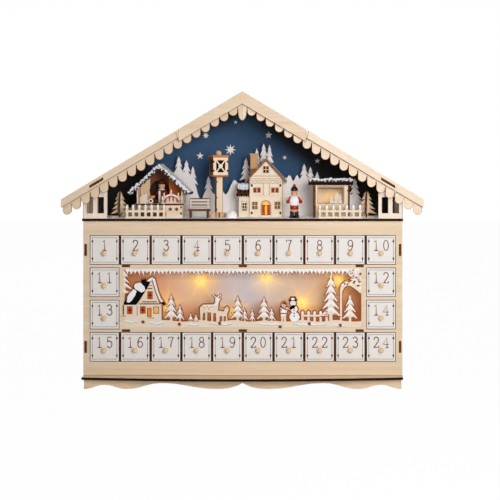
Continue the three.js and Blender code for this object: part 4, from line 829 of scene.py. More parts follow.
WINDOW_LAMPS = [(-100, 99.9), (-55, 131.9), (-12.5, 92.9), (28, 136.9), (74, 103.9), (119, 132.9)]
WINDOW_FIRS = [
    (-89.5, 19, 34.4, 4), (-78.6, 12, 21.4, 3), (-65.2, 7, 11.6, 2), (-58.6, 7, 10, 2), (-6.4, 19, 32.4, 4),
    (2.3, 10, 17.6, 3), (11.8, 8, 17, 3), (26.4, 19, 31, 4), (36, 11, 18, 3), (110, 26, 60.4, 6), (134, 20, 34.4, 4),
]
GROUND = 84.4
WINDOW_TOP = 149
WINDOW_LEFT = -149
PAINT_FRONT, PAINT_BACK = FACE_Y - 0.3, FACE_Y - 0.02


def backdrop_finish():
    """A warm wash that turns grey in the middle, with painted shade along the bottom, a painted glow over the whole
    front, and a pool of light and faint rays round each lamp
    """
    material, wiring, shader = new_material("window_wash", 0.7)
    place = wiring.coordinates()
    axes = wiring.axes(place)
    ramp = wiring.node("ShaderNodeValToRGB", {0: wiring.spread(axes[0], -0.15, 0.15, 0.0, 1.0)})
    washes = [(0.0, (158, 98, 62)), (0.12, (182, 132, 96)), (0.24, (192, 156, 128)), (0.34, (188, 152, 120)),
              (0.44, (172, 164, 164)), (0.52, (168, 164, 172)), (0.62, (182, 166, 152)), (0.8, (184, 152, 124)),
              (0.93, (174, 120, 76)), (1.0, (154, 90, 52))]
    while len(ramp.color_ramp.elements) < len(washes):
        ramp.color_ramp.elements.new(0.5)
    for element, (position, colour) in zip(ramp.color_ramp.elements, washes):
        element.position = position
        element.color = (*linear(*colour), 1)
    cloud = wiring.math("MULTIPLY", wiring.noise(place, 26.0, 4), 0.2)
    wash = wiring.mix(cloud, ramp.outputs[0], linear(196, 158, 126))
    # Painted shade: darker brown along the bottom, where the fretwork shades the backdrop
    wash = wiring.mix(wiring.spread(axes[2], 0.084, 0.108, 0.9, 0.0), wash, linear(164, 96, 48))
    pool = 0.0
    for x, z in WINDOW_LAMPS:
        away = wiring.node("ShaderNodeVectorMath", {0: place, 1: (x * MM, -0.003, z * MM)},
                           operation="SUBTRACT").outputs[0]
        parts = wiring.axes(away)
        distance = wiring.node("ShaderNodeVectorMath", {0: away}, operation="LENGTH").outputs["Value"]
        near, wide = (wiring.spread(distance, 0.0, reach, 1.0, 0.0) for reach in (0.03, 0.04))
        angle = wiring.math("ARCTAN2", parts[2], parts[0])
        wave = wiring.math("SINE", wiring.math("MULTIPLY_ADD", angle, 3.0, x))
        spokes = wiring.math("POWER", wiring.math("ABSOLUTE", wave), 22.0)
        rays = wiring.math("MULTIPLY", wiring.math("MULTIPLY", spokes, wide), 0.16)
        heart = wiring.spread(distance, 0.002, 0.011, 0.34, 0.0, interpolation_type="SMOOTHSTEP")
        rays = wiring.math("ADD", rays, heart)
        pool = wiring.math("ADD", wiring.math("MULTIPLY_ADD", wiring.math("POWER", near, 1.9), 0.66, rays), pool)
    lit = wiring.mix(wiring.math("MINIMUM", wiring.math("MULTIPLY", pool, 0.92), 1.0), wash, linear(248, 210, 110))
    front = wiring.math("LESS_THAN", wiring.axes(wiring.coordinates("Normal"))[1], -0.5)
    # The whole front glows a little as painted light, more near the lamps
    strength = wiring.math("MULTIPLY", wiring.math("MULTIPLY_ADD", pool, 0.16, 0.55), front)
    wiring.feed(shader, {"Base Color": lit, "Emission Color": lit, "Emission Strength": strength})
    return material


def snow_on_fir(work, x, foot, width, height, tiers):
    """Snow over the drooping tiers of a fretted fir, and the charred lower edge of each, coloured with painted
    lamplight and shade
    """
    start = foot + 0.12 * height
    tier = (foot + height - start) / tiers
    lines = []
    for i in range(tiers):
        reach = width / 2 * (1 - 0.85 * i / tiers)
        level = start + tier * i
        inner = reach * 0.26
        top = start + tier * (i + 1.22)
        for side in (-1, 1):
            tip = (x + side * (reach - 0.5), level + 0.5)
            if i < tiers - 1:
                crown = [(x + side * inner, top - 0.4), (x, top + 0.5)]
            else:
                crown = [(x, foot + height - 0.3)]
            sag = [(x, level + tier * 0.82), (x + side * reach * 0.3, level + tier * 0.46),
                   (x + side * reach * 0.42, level + tier * 0.62),
                   (x + side * reach * 0.66, level + tier * 0.2)]
            work.coat([tip, *crown, *sag], "snow")
            root = (x + side * width / 2 * (1 - 0.85 * (i - 1) / tiers) * 0.26, level + tier * 0.22)
            lines.append([(x + side * reach, level), root if i else (x + side * width * 0.08, start)])
            lines.append([(x + side * reach * 0.66, level + tier * 0.18), (x + side * reach * 0.3, level + tier * 0.4)])
    work.lines(lines, FACE_Y - 0.3, 0.95 if width > 9 else 0.6, "amber_char")


def make_window():
    """Paint, snow and icicles on the fretwork, before its lit backdrop"""
    dress(backdrop_finish(), "window_backdrop")
    work = Piece("window_paint", "snow")
    for x, width, height, tiers in WINDOW_FIRS:
        snow_on_fir(work, x, GROUND - 1.5, width, height, tiers)
    # Charred lines round every cut of the fretwork, coloured with painted lamplight and shade
    work.lines(cut_paths("face_board", FACE_Y, 0.7, (-153, 70), (153, 153)), FACE_Y + 1, 1.9, "amber_char", sink=0)
    # Icicles, long and short in turn as the fretwork has them
    pitch, count = 4.9, 60
    left = -count * pitch / 2
    fringe = [(left, WINDOW_TOP + 0.5)]
    for i in range(count):
        root = 1.1 + 0.6 * abs(math.sin(0.8 * i))
        length = 3.6 + 1.7 * abs(math.sin(1.9 * i)) + 1.7 * abs(math.cos(0.7 * i))
        x = left + i * pitch
        fringe += [(x, WINDOW_TOP - root + 0.3), (x + pitch * 0.55, WINDOW_TOP - length + 0.4)]
        tip = x + pitch * 0.55 + 0.6 * math.sin(5 * i)
        long = length + 2.6 * abs(math.sin(2.3 * i + 1))
        work.sheet([(tip - 1.2, WINDOW_TOP - 1), (tip + 1.2, WINDOW_TOP - 1), (tip, WINDOW_TOP - long)],
                   PAINT_FRONT - 0.2, FACE_Y + 1, "snow")
    fringe += [(-left, WINDOW_TOP - 1.1), (-left, WINDOW_TOP + 0.5)]
    work.coat(fringe, "snow")
    snow_drifts(work)
    for finger in (
        [(0, 147.6), (3.2, 143), (5.4, 140.3), (2.4, 141), (0, 142.4)],
        [(0, 138.6), (1.8, 137.6), (7.8, 132.2), (4.6, 133.4), (0, 136)],
        [(0, 131.6), (2, 131.4), (10.6, 124.8), (7, 126), (0, 129.2)],
        [(0, 123.4), (3.2, 121.6), (7.2, 121), (3.4, 120.4), (0, 120.6)],
    ):
        work.coat(moved(finger, WINDOW_LEFT, 0), "snow")
    house_paint(work)
    deer_paint(work)
    snowman_paint(work)
    for i in range(5):
        x = 74.6 + 30.2 * i / 4
        work.coat([(x - 1.3, GROUND + 8.6), (x + 1.3, GROUND + 8.6), (x + 1.3, GROUND + 11.4), (x, GROUND + 12.7),
                   (x - 1.3, GROUND + 11.4)], "snow")
    work.lines([[(74.2, GROUND + 5.2), (105.2, GROUND + 5.2)]], FACE_Y, 0.5, "scorch")
    branch_paint(work)
    work.done()


def snow_drifts(work):
    """White banks with a soft grey lower line across the ground, and small dark red stars under them, painted as the
    shade seen through cut-out stars
    """
    for left, right, level in ((-150, -129, 84.4), (-118, -97, 82.6), (-70, -54, 80.8), (-42, -12, 81.6),
                               (16, 52, 81.4), (62, 105, 81), (111, 130, 79.6)):
        steps = max(3, round((right - left) / 5))
        top = smooth_path([(left + (right - left) * i / steps, level + (0.9 if i % 2 else -0.3) - 0.05 * i)
                           for i in range(steps + 1)], 4)
        low = [(x, z - 2.1 * math.sin(math.pi * (x - left) / (right - left)) ** 0.5 - 0.2) for x, z in top[1:-1]]
        work.coat(top + low[::-1], "snow")
        work.lines([low], FACE_Y - 0.15, 0.85, "slate")
    # Dark red stars are painted where cut-out stars would show the shaded backdrop: painted shade
    for x, z in ((-124.8, 83.2), (-79.3, 80.3), (-29, 81.4), (46.5, 77), (83, 81), (121.8, 79)):
        work.coat(star_outline(x, z, 6, 2.9, 1.5), "dark_red", 0.1)


def branch_paint(work):
    """Leaves of the bare tree at the right, white, with the gaps between them painted dark red as shade"""
    x, z = 122.7, 117
    chance = random.Random(11)
    for dx, dz in ((2, 12.5), (7, 16), (13, 14), (14, 19.5), (18, 19), (21.5, 21), (11.5, 24.5), (10.5, 29.5),
                   (16.5, 27.5), (20.5, 28.4), (23.4, 29.6), (23.4, 21), (19.6, 14.6), (23.6, 13.4), (14.6, 30.6),
                   (20, 24.4), (24, 8.4)):
        tilt = chance.uniform(-0.9, 0.9)
        leaf = [(1.9 * math.cos(2 * math.pi * i / 8), 0.95 * math.sin(2 * math.pi * i / 8)) for i in range(8)]
        work.coat([(x + dx + a * math.cos(tilt) - b * math.sin(tilt), z + dz + a * math.sin(tilt) + b * math.cos(tilt))
                   for a, b in leaf], "snow")
    # Dark red star shapes paint the gaps between the leaves as shade
    gaps = ((4.6, 13.8), (10, 19.4), (15.6, 23.4), (12.4, 27), (17.4, 30.2), (21.6, 26.4), (21.6, 18.8), (17, 17),
            (24.6, 26.8), (8, 13.4), (22.4, 11.8))
    for dx, dz in gaps:
        work.coat(star_outline(x + dx, z + dz, 4, 1.5, 0.8), "dark_red", 0.05)


def house_paint(work):
    """The fretted house: black roof with patches of snow, lit red and amber windows, scored lines"""
    x, foot = -125, GROUND - 1
    roof = [(11.5, 56.2), (12.4, 51.2), (9.6, 50.6), (6, 43.6), (2, 36.6), (-2.5, 29.8), (-6, 24.8), (-8.5, 21.2),
            (-23.8, 21.2), (-23.8, 24), (-21.4, 27.6), (-20, 31.4), (-19, 34.2), (-15, 37.6), (-12.3, 39.2),
            (-11.8, 44), (-9.5, 48.2), (-2, 49.4), (-1.3, 53.2), (3, 53.6), (4.5, 51.6), (7.5, 54)]
    work.coat(moved(roof, x, foot), "black")
    for snow in (
        [(-145.2, 108), (-144.4, 115), (-141.4, 119.6), (-136.2, 124.6), (-132.6, 121.6), (-134.4, 116.4),
         (-138.6, 110), (-142, 107.2)],
        [(-136.4, 127.4), (-134.6, 131.2), (-128, 132.6), (-122.8, 127.4), (-121.6, 122.4), (-126.6, 119.8),
         (-131.4, 122.6), (-134.4, 124)],
        [(-120.6, 134.2), (-117.4, 137), (-113.8, 139.2), (-112.6, 135.4), (-116.4, 133.6)],
    ):
        work.sheet(snow, PAINT_FRONT - 0.2, PAINT_FRONT, "snow")
        work.lines([[*snow, snow[0]]], PAINT_FRONT - 0.2, 0.4, "slate")
    bar = [(11.5, 56.4), (15, 53.6), (16.4, 48.6), (19, 38.6), (22.5, 29.6), (25.6, 25.2), (23.2, 24.6), (20, 29),
           (16.6, 37.7), (13.8, 47.5), (12.4, 52)]
    work.coat(moved(bar, x, foot), "snow")
    tip = [(25.6, 25.2), (26.5, 24), (28.4, 22), (25.8, 20.8), (23, 23.4), (23.2, 24.6)]
    work.coat(moved(tip, x, foot), "black")
    for left, low, width, height, pane in (
        (-19.8, 9.6, 6.8, 9.7, "pane_red"), (-3.5, 10, 7, 9.4, "pane_red"), (5.3, 6, 5.5, 11.6, "ember"),
        (13, 10, 7.2, 9, "pane_amber"), (5.5, 28.3, 6.8, 9.8, "pane_red"),
    ):
        left, low = x + left, foot + low
        work.block((left - 0.1, FACE_Y + 0.9, low - 0.1), (left + width + 0.1, FACE_Y + 1.3, low + height + 0.1), pane)
        if width > 6:
            bars = "maroon" if pane == "pane_red" else "wood_z"
            middle, level = left + width / 2, low + height / 2
            work.block((middle - 0.6, FACE_Y + 0.3, low), (middle + 0.6, FACE_Y + 1.1, low + height), bars)
            work.block((left, FACE_Y + 0.3, level - 0.6), (left + width, FACE_Y + 1.1, level + 0.6), bars)
    scallops = [oval(-127.7 + i * 3.6, 106.4, 1.8, 1.3, 12)[6:] for i in range(7)]
    rules = [[(-129.5, 106.6), (-103.2, 106.6)], [(-132.2, 91), (-132.2, 103.4)], [(-118.4, 88), (-111, 88)],
             [(-152, 90.6), (-146, 90.6)], [(-118.6, 128.6), (-113.4, 128.6)], [(-118, 125.2), (-113, 125.2)]]
    work.lines(scallops + rules, FACE_Y, 0.95, "umber")
    # The gable's charred edge, coloured with painted lamplight
    gable = [(-132.6, 104.8), (-127.2, 113.4), (-122.8, 120.4), (-118.8, 127.2), (-115.2, 134), (-112.6, 134.4),
             (-110.4, 130.4), (-107.8, 121), (-104.6, 112.6), (-101.6, 106.4), (-101.4, 86)]
    work.lines([gable], FACE_Y, 0.8, "amber_char")
    work.block((-150.2, PAINT_FRONT, 92.4), (-148.6, PAINT_BACK, 104.6), "dark_red")


def deer_paint(work):
    spots = [(x, FACE_Y, z) for x, z in
             ((-50, 102.4), (-47, 100.8), (-44, 102.4), (-41, 101), (-38.4, 102.4), (-48.4, 99.2), (-42.6, 99.2))]
    work.grains(spots, 0.75, "scorch", stretch=(1, 0.35, 0.8))
    back = [(-50, 104.6), (-36.6, 105), (-34.4, 107.2), (-34.6, 113.2), (-33, 114.4), (-30.4, 112), (-30.8, 108),
            (-33.5, 104), (-49.5, 103.6)]
    outline = [(-53.8, 95.2), (-53.6, 101.4), (-50, 105), (-36.4, 105.4)]
    work.lines([outline, [(-45.6, 95.4), (-39.4, 95.2)]], FACE_Y, 0.6, "scorch")
    work.coat(moved(back, 0.5, -0.4), "snow")
    antlers = [[(-34.4, 114), (-36.6, 117), (-37.4, 120.6)], [(-36.4, 117), (-38.8, 118.6)],
               [(-31.6, 114), (-30.2, 117.2), (-30.6, 121.4)],
               [(-30.2, 117), (-27.6, 119)], [(-30.4, 114.8), (-27, 116.4)], [(-35.6, 115.6), (-38.8, 116)]]
    work.lines(antlers, FACE_Y + 0.6, 0.9, "snow", sink=0)
    work.lines([[(-28.6, 101), (-21.4, 101.6), (-19.4, 100.4)], [(-31, 95.4), (-31, 97.8), (-24.6, 98)]], FACE_Y, 0.55,
               "scorch")


def snowman_paint(work):
    """The snowman with his hat and scarf, and the child beside him"""
    x, foot = 64.5, GROUND - 2
    for place, level, radius in ((x, 7, 6), (x - 0.6, 17, 4.2), (x - 1.8, 24, 3.3)):
        work.coat(disc(place, foot + level, radius), "snow")
        work.lines([disc(place, foot + level, radius + 0.7)], FACE_Y, 0.5, "scorch")
    hat = [(-4.6, 27.2), (4.6, 27.2), (4.6, 28.6), (3.3, 28.8), (3, 31.4), (-3, 31.4), (-3.3, 28.8), (-4.6, 28.6)]
    work.coat(moved(hat, x - 2, foot), "black")
    work.sheet(oval(x - 2, foot + 29.6, 2.5, 1.5, 16)[:-1], PAINT_FRONT - 0.1, PAINT_FRONT, "snow")
    buttons = [(x - 0.4, PAINT_FRONT, foot + z) for z in (8, 11.4, 15.4, 18)]
    work.grains(buttons, 0.9, "char", stretch=(1, 0.4, 1))
    work.grains([(x - 3, PAINT_FRONT, foot + 24.8), (x - 0.8, PAINT_FRONT, foot + 24.8)], 0.45, "black",
                stretch=(1, 0.4, 1), detail=1)
    scarf = [(-5.4, 20), (1.6, 20), (1.6, 21.6), (-3.4, 21.8), (-4.2, 16), (-5.8, 16)]
    work.coat(moved(scarf, x, foot), "black", 0.15)
    x, foot = 51, GROUND - 1
    coat = [(-2.8, 7.4), (3, 7.4), (3.8, 14.6), (2.4, 17.4), (-2.4, 17.4), (-3.8, 15)]
    work.coat(moved(coat, x, foot), "snow")
    for red in ([(-2.8, 17.2), (3.6, 14.2), (3.8, 16), (-2.6, 19)], [(-3.4, 9.8), (3.4, 9.8), (3.4, 11), (-3.6, 11)],
                [(-2.2, 22.4), (0.4, 25.2), (2.2, 24), (3.2, 20.6), (1.8, 21.8)],
                [(4.6, 14.4), (8.2, 13.2), (8.6, 14.4), (4.4, 16)]):
        work.coat(moved(red, x, foot), "dark_red", 0.15)
    work.coat(disc(x + 0.2, foot + 20.6, 1.8, 12), "peach", 0.05)
    work.grains([(x - 2.8, PAINT_FRONT, foot + 19.4), (x + 2.6, PAINT_FRONT, foot + 18.4),
                 (x - 3.2, PAINT_FRONT, foot + 15)], 0.95, "char", stretch=(1, 0.4, 1))
    work.lines([[(x - 3.2, foot + 0.6), (x - 3.8, foot + 8), (x - 4.2, foot + 15)],
                [(x + 3.2, foot + 0.6), (x + 3.2, foot + 8)]],
               FACE_Y, 0.55, "scorch")


# Sky


def sky_finish(night):
    """Night blue in the middle, with painted shade that darkens it under the roof and toward both ends"""
    material, wiring, shader = new_material("night_sky", 0.8, specular=0.15)
    place = wiring.coordinates()
    axes = wiring.axes(place)
    aside = wiring.math("ABSOLUTE", axes[0])
    # Painted shade: the night blue gives way to near-black under the roof line and toward both ends
    roof = wiring.math("MULTIPLY_ADD", axes[0], -0.2, wiring.math("MULTIPLY_ADD", aside, -ROOF_SLOPE, APEX * MM))
    under = wiring.math("SUBTRACT", roof, axes[2])
    lift = wiring.spread(under, 0.014, 0.042, 0.0, 1.0, interpolation_type="SMOOTHSTEP")
    shifted = wiring.math("ABSOLUTE", wiring.math("ADD", axes[0], 0.02))
    ends = wiring.spread(shifted, 0.09, 0.12, 1.0, 0.0, interpolation_type="SMOOTHSTEP")
    brush = wiring.noise(place, 240.0, 4)
    share = wiring.math("MULTIPLY", wiring.math("MULTIPLY", lift, ends), wiring.math("MULTIPLY_ADD", brush, 0.3, 0.82))
    front = wiring.math("LESS_THAN", wiring.axes(wiring.coordinates("Normal"))[1], -0.5)
    bare = wiring.mix(brush, linear(232, 210, 180), linear(216, 190, 156))
    painted = wiring.mix(share, linear(34, 36, 38), night)
    wiring.feed(shader, {"Base Color": wiring.mix(front, bare, painted), "Normal": wiring.bump(brush, 0.2, 0.00006)})
    return material


def make_sky(settings):
    dress(sky_finish(tuple(settings.wood.night)), "sky_board")
    stars = Piece("sky_stars", "snow")
    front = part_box("sky_board")[0].y / MM
    for x, rise, points, outer, inner in (
        (-14.7, 122.5, 5, 2.9, 1.2), (-53.7, 105.1, 8, 4.3, 1.9), (-21.4, 86.3, 8, 7.6, 3.0),
        (-61.2, 78.2, 5, 5.0, 2.1), (28.7, 105.5, 5, 5.0, 2.1), (49.8, 76.1, 6, 3.1, 1.4), (92.8, 71.7, 5, 3.8, 1.6),
    ):
        stars.sheet(star_outline(x, STAGE_FLOOR + rise, points, outer, inner), front - 0.5, front - 0.01, "snow")
    stars.done()


# Village


def roof_snow(points, spread, seed, rise=0.6):
    """Loose points along a line of (x, y, z), a little off it, for lumps of snow"""
    chance = random.Random(seed)
    made = []
    for a, b in zip(points, points[1:]):
        steps = max(2, int(math.dist(a, b) / spread))
        for i in range(steps):
            t = (i + 0.5 + chance.uniform(-0.3, 0.3)) / steps
            made.append(tuple(
                p + (q - p) * t + chance.uniform(-rise, rise) * (k != 1) for k, (p, q) in enumerate(zip(a, b))))
    return made


def make_chalet():
    foot = STAGE_FLOOR
    brace = (("in", "Y", 7.5, 10.2), ("in", "Z", foot + 18.2, ABOVE))
    stall = sheet_wood("chalet_wood", linear(250, 236, 214), linear(236, 214, 188), cuts=(
        (("across", "Y", -12.1, -9.9),), (("across", "Y", 7.9, 10.1), ("in", "Z", foot + 19, ABOVE)),
        (("in", "Z", foot + 15.8, foot + 17.9), ("in", "Y", -14.2, -13.8))),
        # The brace is painted in three tones: pale on the left, painted shade in the middle and painted light in orange
        # on the right
        coats=((brace + (("in", "X", -132, -121),), linear(238, 212, 172)),
               (brace + (("in", "X", -97, -79),), linear(232, 132, 66)),
               (brace + (("in", "X", -121, -97),), linear(120, 66, 38)),
               # Painted shade: the back wall inside the stall is near-black brown
               ((("in", "Y", 17.5, 20.2), ("in", "Z", foot + 18.2, ABOVE)), linear(58, 28, 18)),
               ((("in", "Y", -12.1, -11.9), ("in", "X", -134, -98), ("in", "Z", foot, foot + 10)), linear(140, 88, 58)),
               ((("in", "Y", 0.2, 20.2), ("along", "X", -134, -78)), linear(190, 108, 58))))
    dress(stall, "chalet_stall")
    roof = sheet_wood("chalet_roof_wood", linear(74, 44, 30), linear(44, 26, 18), cuts=(),
                      coats=(((("up",),), ROOF_SNOW),))
    dress(roof, "chalet_roof")
    work = Piece("chalet_trim", "frost")
    ridge = [(-143.9, -18.4, foot + 32.4), (-106, -18.4, foot + 67.2), (-68.1, -18.4, foot + 32.4)]
    work.grains(roof_snow(ridge, 2.1, 4, 0.8), 1.75, "frost", stretch=(1, 0.4, 0.85), variation=0.4, seed=3)
    lower = [(x, y - 0.1, z - 3.6) for x, y, z in ridge]
    work.grains(roof_snow(lower, 4.2, 9, 0.8), 0.95, "frost", stretch=(1, 0.4, 1), variation=0.45, seed=8)
    work.lines(cut_paths("chalet_stall", -12, 0.1), -12, 0.7, "umber")
    work.lines([[(-134, foot + 17), (-78, foot + 17)]], -14, 1.6, "brown")
    # Two umber stars stand for the cut-out stars in the front, painted dark as the shade inside the stall
    for x in (-92.8, -84.8):
        work.sheet(star_outline(x, foot + 10.9, 6, 3, 1.3), -12.3, -11.9, "umber")
    seller(work, -105.5, 3.5, foot)
    candles(work, -92, -9, foot + 17.5)
    toys(work, foot + 18)
    joints = [(-134, foot + 4.4), (-134, foot + 12), (-80.2, foot + 4.4), (-80.2, foot + 12)]
    for x, z in joints:
        work.block((x, -12.15, z), (x + 2.2, -11.9, z + 2.4), "char")
    work.done()


def seller(work, x, y, foot):
    """The stall keeper behind the counter: a turned peg with a coat, brown hair and two arms"""
    work.turned([(0, 12), (4.8, 12), (5.2, 24), (4, 34), (1.8, 36.6), (0, 36.8)], (x, y, foot), "wine")
    work.ball(4.3, (x, y, foot + 40.6), "peach")
    work.turned([(0, 42.4), (4.4, 42), (4.8, 43.2), (4, 46.4), (2, 48.4), (0, 48.8)], (x, y + 0.4, foot), "brown")
    work.turned([(0, 34.6), (4.3, 34.8), (4, 36.4), (0, 36.8)], (x, y, foot), "white")
    work.block((x - 3.4, y - 5.2, foot + 19), (x - 1, y - 4.4, foot + 34), "white")
    work.grains([(x - 1.5, y - 4.1, foot + 41), (x + 1.5, y - 4.1, foot + 41)], 0.5, "black", detail=1)
    for side in (-1, 1):
        turn = rotation(-38 * side, "Y") @ rotation(28, "X")
        work.turned([(0, -8), (1.5, -7.6), (2, 0), (0, 0.8)], (x + 4.2 * side, y - 1.6, foot + 32.5), "wine", 14, turn)
        work.ball(1.7, (x + 9.4 * side, y - 5, foot + 26.4), "peach", sides=14)


CANDLE_ANGLES = (0.25, 0.7, 1.5708, 2.44, 2.89)


def candles(work, x, y, foot):
    """Flames on the candle arch, and the glowing card behind it with pale trees"""
    flames = [(x + 11.6 * math.cos(a), y + 0.6, foot + 11.6 * math.sin(a) + 5.6) for a in CANDLE_ANGLES]
    work.grains(flames, 0.75, "flame", stretch=(0.8, 0.8, 1.5))
    work.sheet(arc(x, foot + 0.6, 10.6, 16), y + 1.6, y + 2.0, "embers")
    work.sheet(arc(x, foot, 12.3, 16) + arc(x, foot, 10.5, 16)[::-1], y - 0.3, y - 0.02, "snow")
    for a in CANDLE_ANGLES:
        cx, cz = x + 11.6 * math.cos(a), foot + 11.6 * math.sin(a)
        work.block((cx - 0.75, y - 0.3, cz), (cx + 0.75, y - 0.02, cz + 4.7), "snow")
    for dx, wide, tall in ((-5, 4, 6), (0, 5, 8.4), (5, 4, 6.4)):
        work.sheet(small_fir(x + dx, foot + 1.4, wide, tall, 0.2, 0.5), y + 1.0, y + 1.5, "white")


def toys(work, top):
    """Small goods on the counter"""
    work.turned([(0, 0), (3, 0), (3.2, 3), (1.3, 7), (1.2, 9.6), (1.8, 11.4), (0, 12.8)], (-124.5, -6, top), "snow", 18)
    # An orange ball whose paint glows: painted light
    work.ball(2.2, (-116.5, -5, top + 7.8), "ember", sides=16)
    wheel = rotation(90, "X")
    work.turned([(1.5, -0.7), (3.1, -0.7), (3.1, 0.7), (1.5, 0.7), (1.5, -0.7)], (-118, -8, top + 3.2), "snow", 20,
                wheel)
    work.ball(1.4, (-118, -8, top + 3.2), "black", sides=12)
    work.turned([(0, 0), (2.4, 0), (2.2, 4), (0, 6)], (-112, -5, top), "brown", 16)


HOUSE_X = 27
HOUSE_Y = 12


def make_house():
    walls = sheet_wood("house_wood", linear(253, 242, 222), linear(242, 224, 194), along="Z", cuts=(
        (("across", "Y", 11.9, 14.1),), (("across", "Y", 13.9, 16.1), ("in", "X", -8.2, 5.9))))
    dress(walls, "town_house")
    roof = sheet_wood("house_roof_wood", linear(150, 112, 84), linear(110, 76, 54), cuts=(
        (("across", "Y", -WHOLE, 10), ALONG_Y),),
        coats=(((("up",), ("in", "X", HOUSE_X, 60)), linear(232, 233, 238)),
               ((("in", "X", 5.5, 17), ("in", "Z", STAGE_FLOOR + 62, STAGE_FLOOR + 90)), linear(206, 160, 110))))
    dress(roof, "town_house_roof")
    foot, face = STAGE_FLOOR, HOUSE_Y
    work = Piece("house_trim", "burnt")
    left, right = HOUSE_X - 21, HOUSE_X + 21
    wave = smooth_path([(left + 1 + i * 2.9, foot + 43.4 + (0.8 if i % 2 else -0.8)) for i in range(15)], 4)
    beams = [
        [(left + 0.5, foot + 48.8), (right - 0.5, foot + 48.8)],
        [(left + 0.5, foot + 46.2), (right - 0.5, foot + 46.2)],
        wave, [(23.6, foot + 28), (23.6, foot + 42.4)], [(31.3, foot + 28), (31.3, foot + 42.4)],
        [(left + 0.5, foot + 27), (right - 0.5, foot + 27)], [(left + 4, foot + 52.4), (right - 4, foot + 52.4)],
    ]
    work.lines(beams, face, 0.75, "scorch")
    slants = [[(HOUSE_X - 20.6, foot + 50), (HOUSE_X, foot + 71.4), (HOUSE_X + 20.6, foot + 50)]]
    work.lines(slants, face, 0.9, "scorch")
    for x, low in ((left + 1.6, 38.8), (right - 3.8, 38.8), (left + 1.6, 3.4), (right - 3.8, 3.4)):
        work.block((x, face - 0.15, foot + low), (x + 2.3, face + 0.1, foot + low + 3.2), "maroon")
    openings = [(-15.9, 31.6, 3.4, 5.4), (-10.8, 31.6, 3.4, 5.4), (7.3, 31.6, 3.4, 5.4), (12.5, 31.6, 3.4, 5.4),
                (-17.2, 10.3, 5.8, 8.4), (11.6, 10.6, 6, 8.2), (-3.2, 56.8, 6.4, 7.8)]
    for dx, low, width, height in openings:
        a, b = HOUSE_X + dx, foot + low
        pane = "deep_red" if width < 4 else "maroon" if low > 50 else "toffee"
        work.block((a - 0.4, face + 1.7, b - 0.4), (a + width + 0.4, face + 2.3, b + height + 0.4), pane)
        work.lines([frame_path(a - 0.5, b - 0.5, a + width + 0.5, b + height + 0.5)], face, 0.8, "scorch")
        if width > 4:
            work.block((a + width / 2 - 0.4, face + 0.3, b), (a + width / 2 + 0.4, face + 1.3, b + height), walls)
            work.block((a, face + 0.3, b + height / 2 - 0.4), (a + width, face + 1.3, b + height / 2 + 0.4), walls)
    work.lines(cut_paths("town_house", face, 0.1), face, 0.6, "scorch")
    doorway(work, face, foot, walls)
    annex_trim(work, foot)
    work.done()


def doorway(work, face, foot, walls):
    """Two dark red door leaves under a glowing fanlight, in a scored arch"""
    x, spring = HOUSE_X, foot + 15
    work.sheet(arc(x, spring, 5.6, 14), face + 1.5, face + 2.1, "pane_amber")
    for side in (-1, 1):
        a, b = sorted((x + side * 1.2, x + side * 5.2))
        work.block((a, face + 1.2, foot + 2.4), (b, face + 2.1, foot + 14.6), "deep_red")
        work.lines([frame_path(a + 1, foot + 4, b - 1, foot + 13)], face + 1.2, 0.5, "pane_amber")
    work.block((x - 1.2, face + 1.4, foot + 2.4), (x + 1.2, face + 2.1, foot + 15), "pane_amber")
    for angle in (45, 90, 135):
        tip = (x + 5.4 * math.cos(math.radians(angle)), spring + 5.4 * math.sin(math.radians(angle)))
        work.lines([[(x, spring), tip]], face + 1.5, 0.7, walls)
    work.lines([[(x - 5.5, spring), (x + 5.5, spring)]], face + 1.2, 0.7, "scorch")
    frame_line = [(x - 6.3, foot + 2.4), *arc(x, spring, 6.3, 14)[::-1], (x + 6.3, foot + 2.4)]
    work.lines([frame_line], face, 0.8, "scorch")


def annex_trim(work, foot):
    """Dark shingles and a thick bank of snow on the annex's roof, and its small barred window"""
    left, right = -11, 6
    for row in range(3):
        y, z = 10.6 + row * 3.4, foot + 26.6 + row * 3.2
        for i in range(6):
            x = left + (right - left) * (i + 0.5) / 6 + (0.8 if row % 2 else 0)
            tile = [(x - 1.4, z + 3.4), (x - 1.4, z + 0.6), (x - 0.7, z - 0.4), (x + 0.7, z - 0.4),
                    (x + 1.4, z + 0.6), (x + 1.4, z + 3.4)]
            work.sheet(tile, y, y + 0.7, "brown" if (i + row) % 2 else "char")
    bank = roof_snow([(left + 1.2, 21, foot + 39.4), (right - 1.6, 21, foot + 39.4)], 1.9, 5, 0.3)
    work.grains(bank, 3.2, "frost", stretch=(0.75, 1.3, 1.25), variation=0.15, seed=2)
    lip = [(x, 17.4, z - 3.2) for x, _, z in bank]
    work.grains(lip, 1.5, "frost", stretch=(0.8, 0.6, 1.2), variation=0.3, seed=7)
    work.lines([frame_path(-4.7, foot + 10, 2.6, foot + 20)], 14, 0.8, "scorch")
    # A dark block behind the window is painted shade inside the annex
    work.block((-5, 16.1, foot + 9.6), (3, 16.6, foot + 20.4), "char")


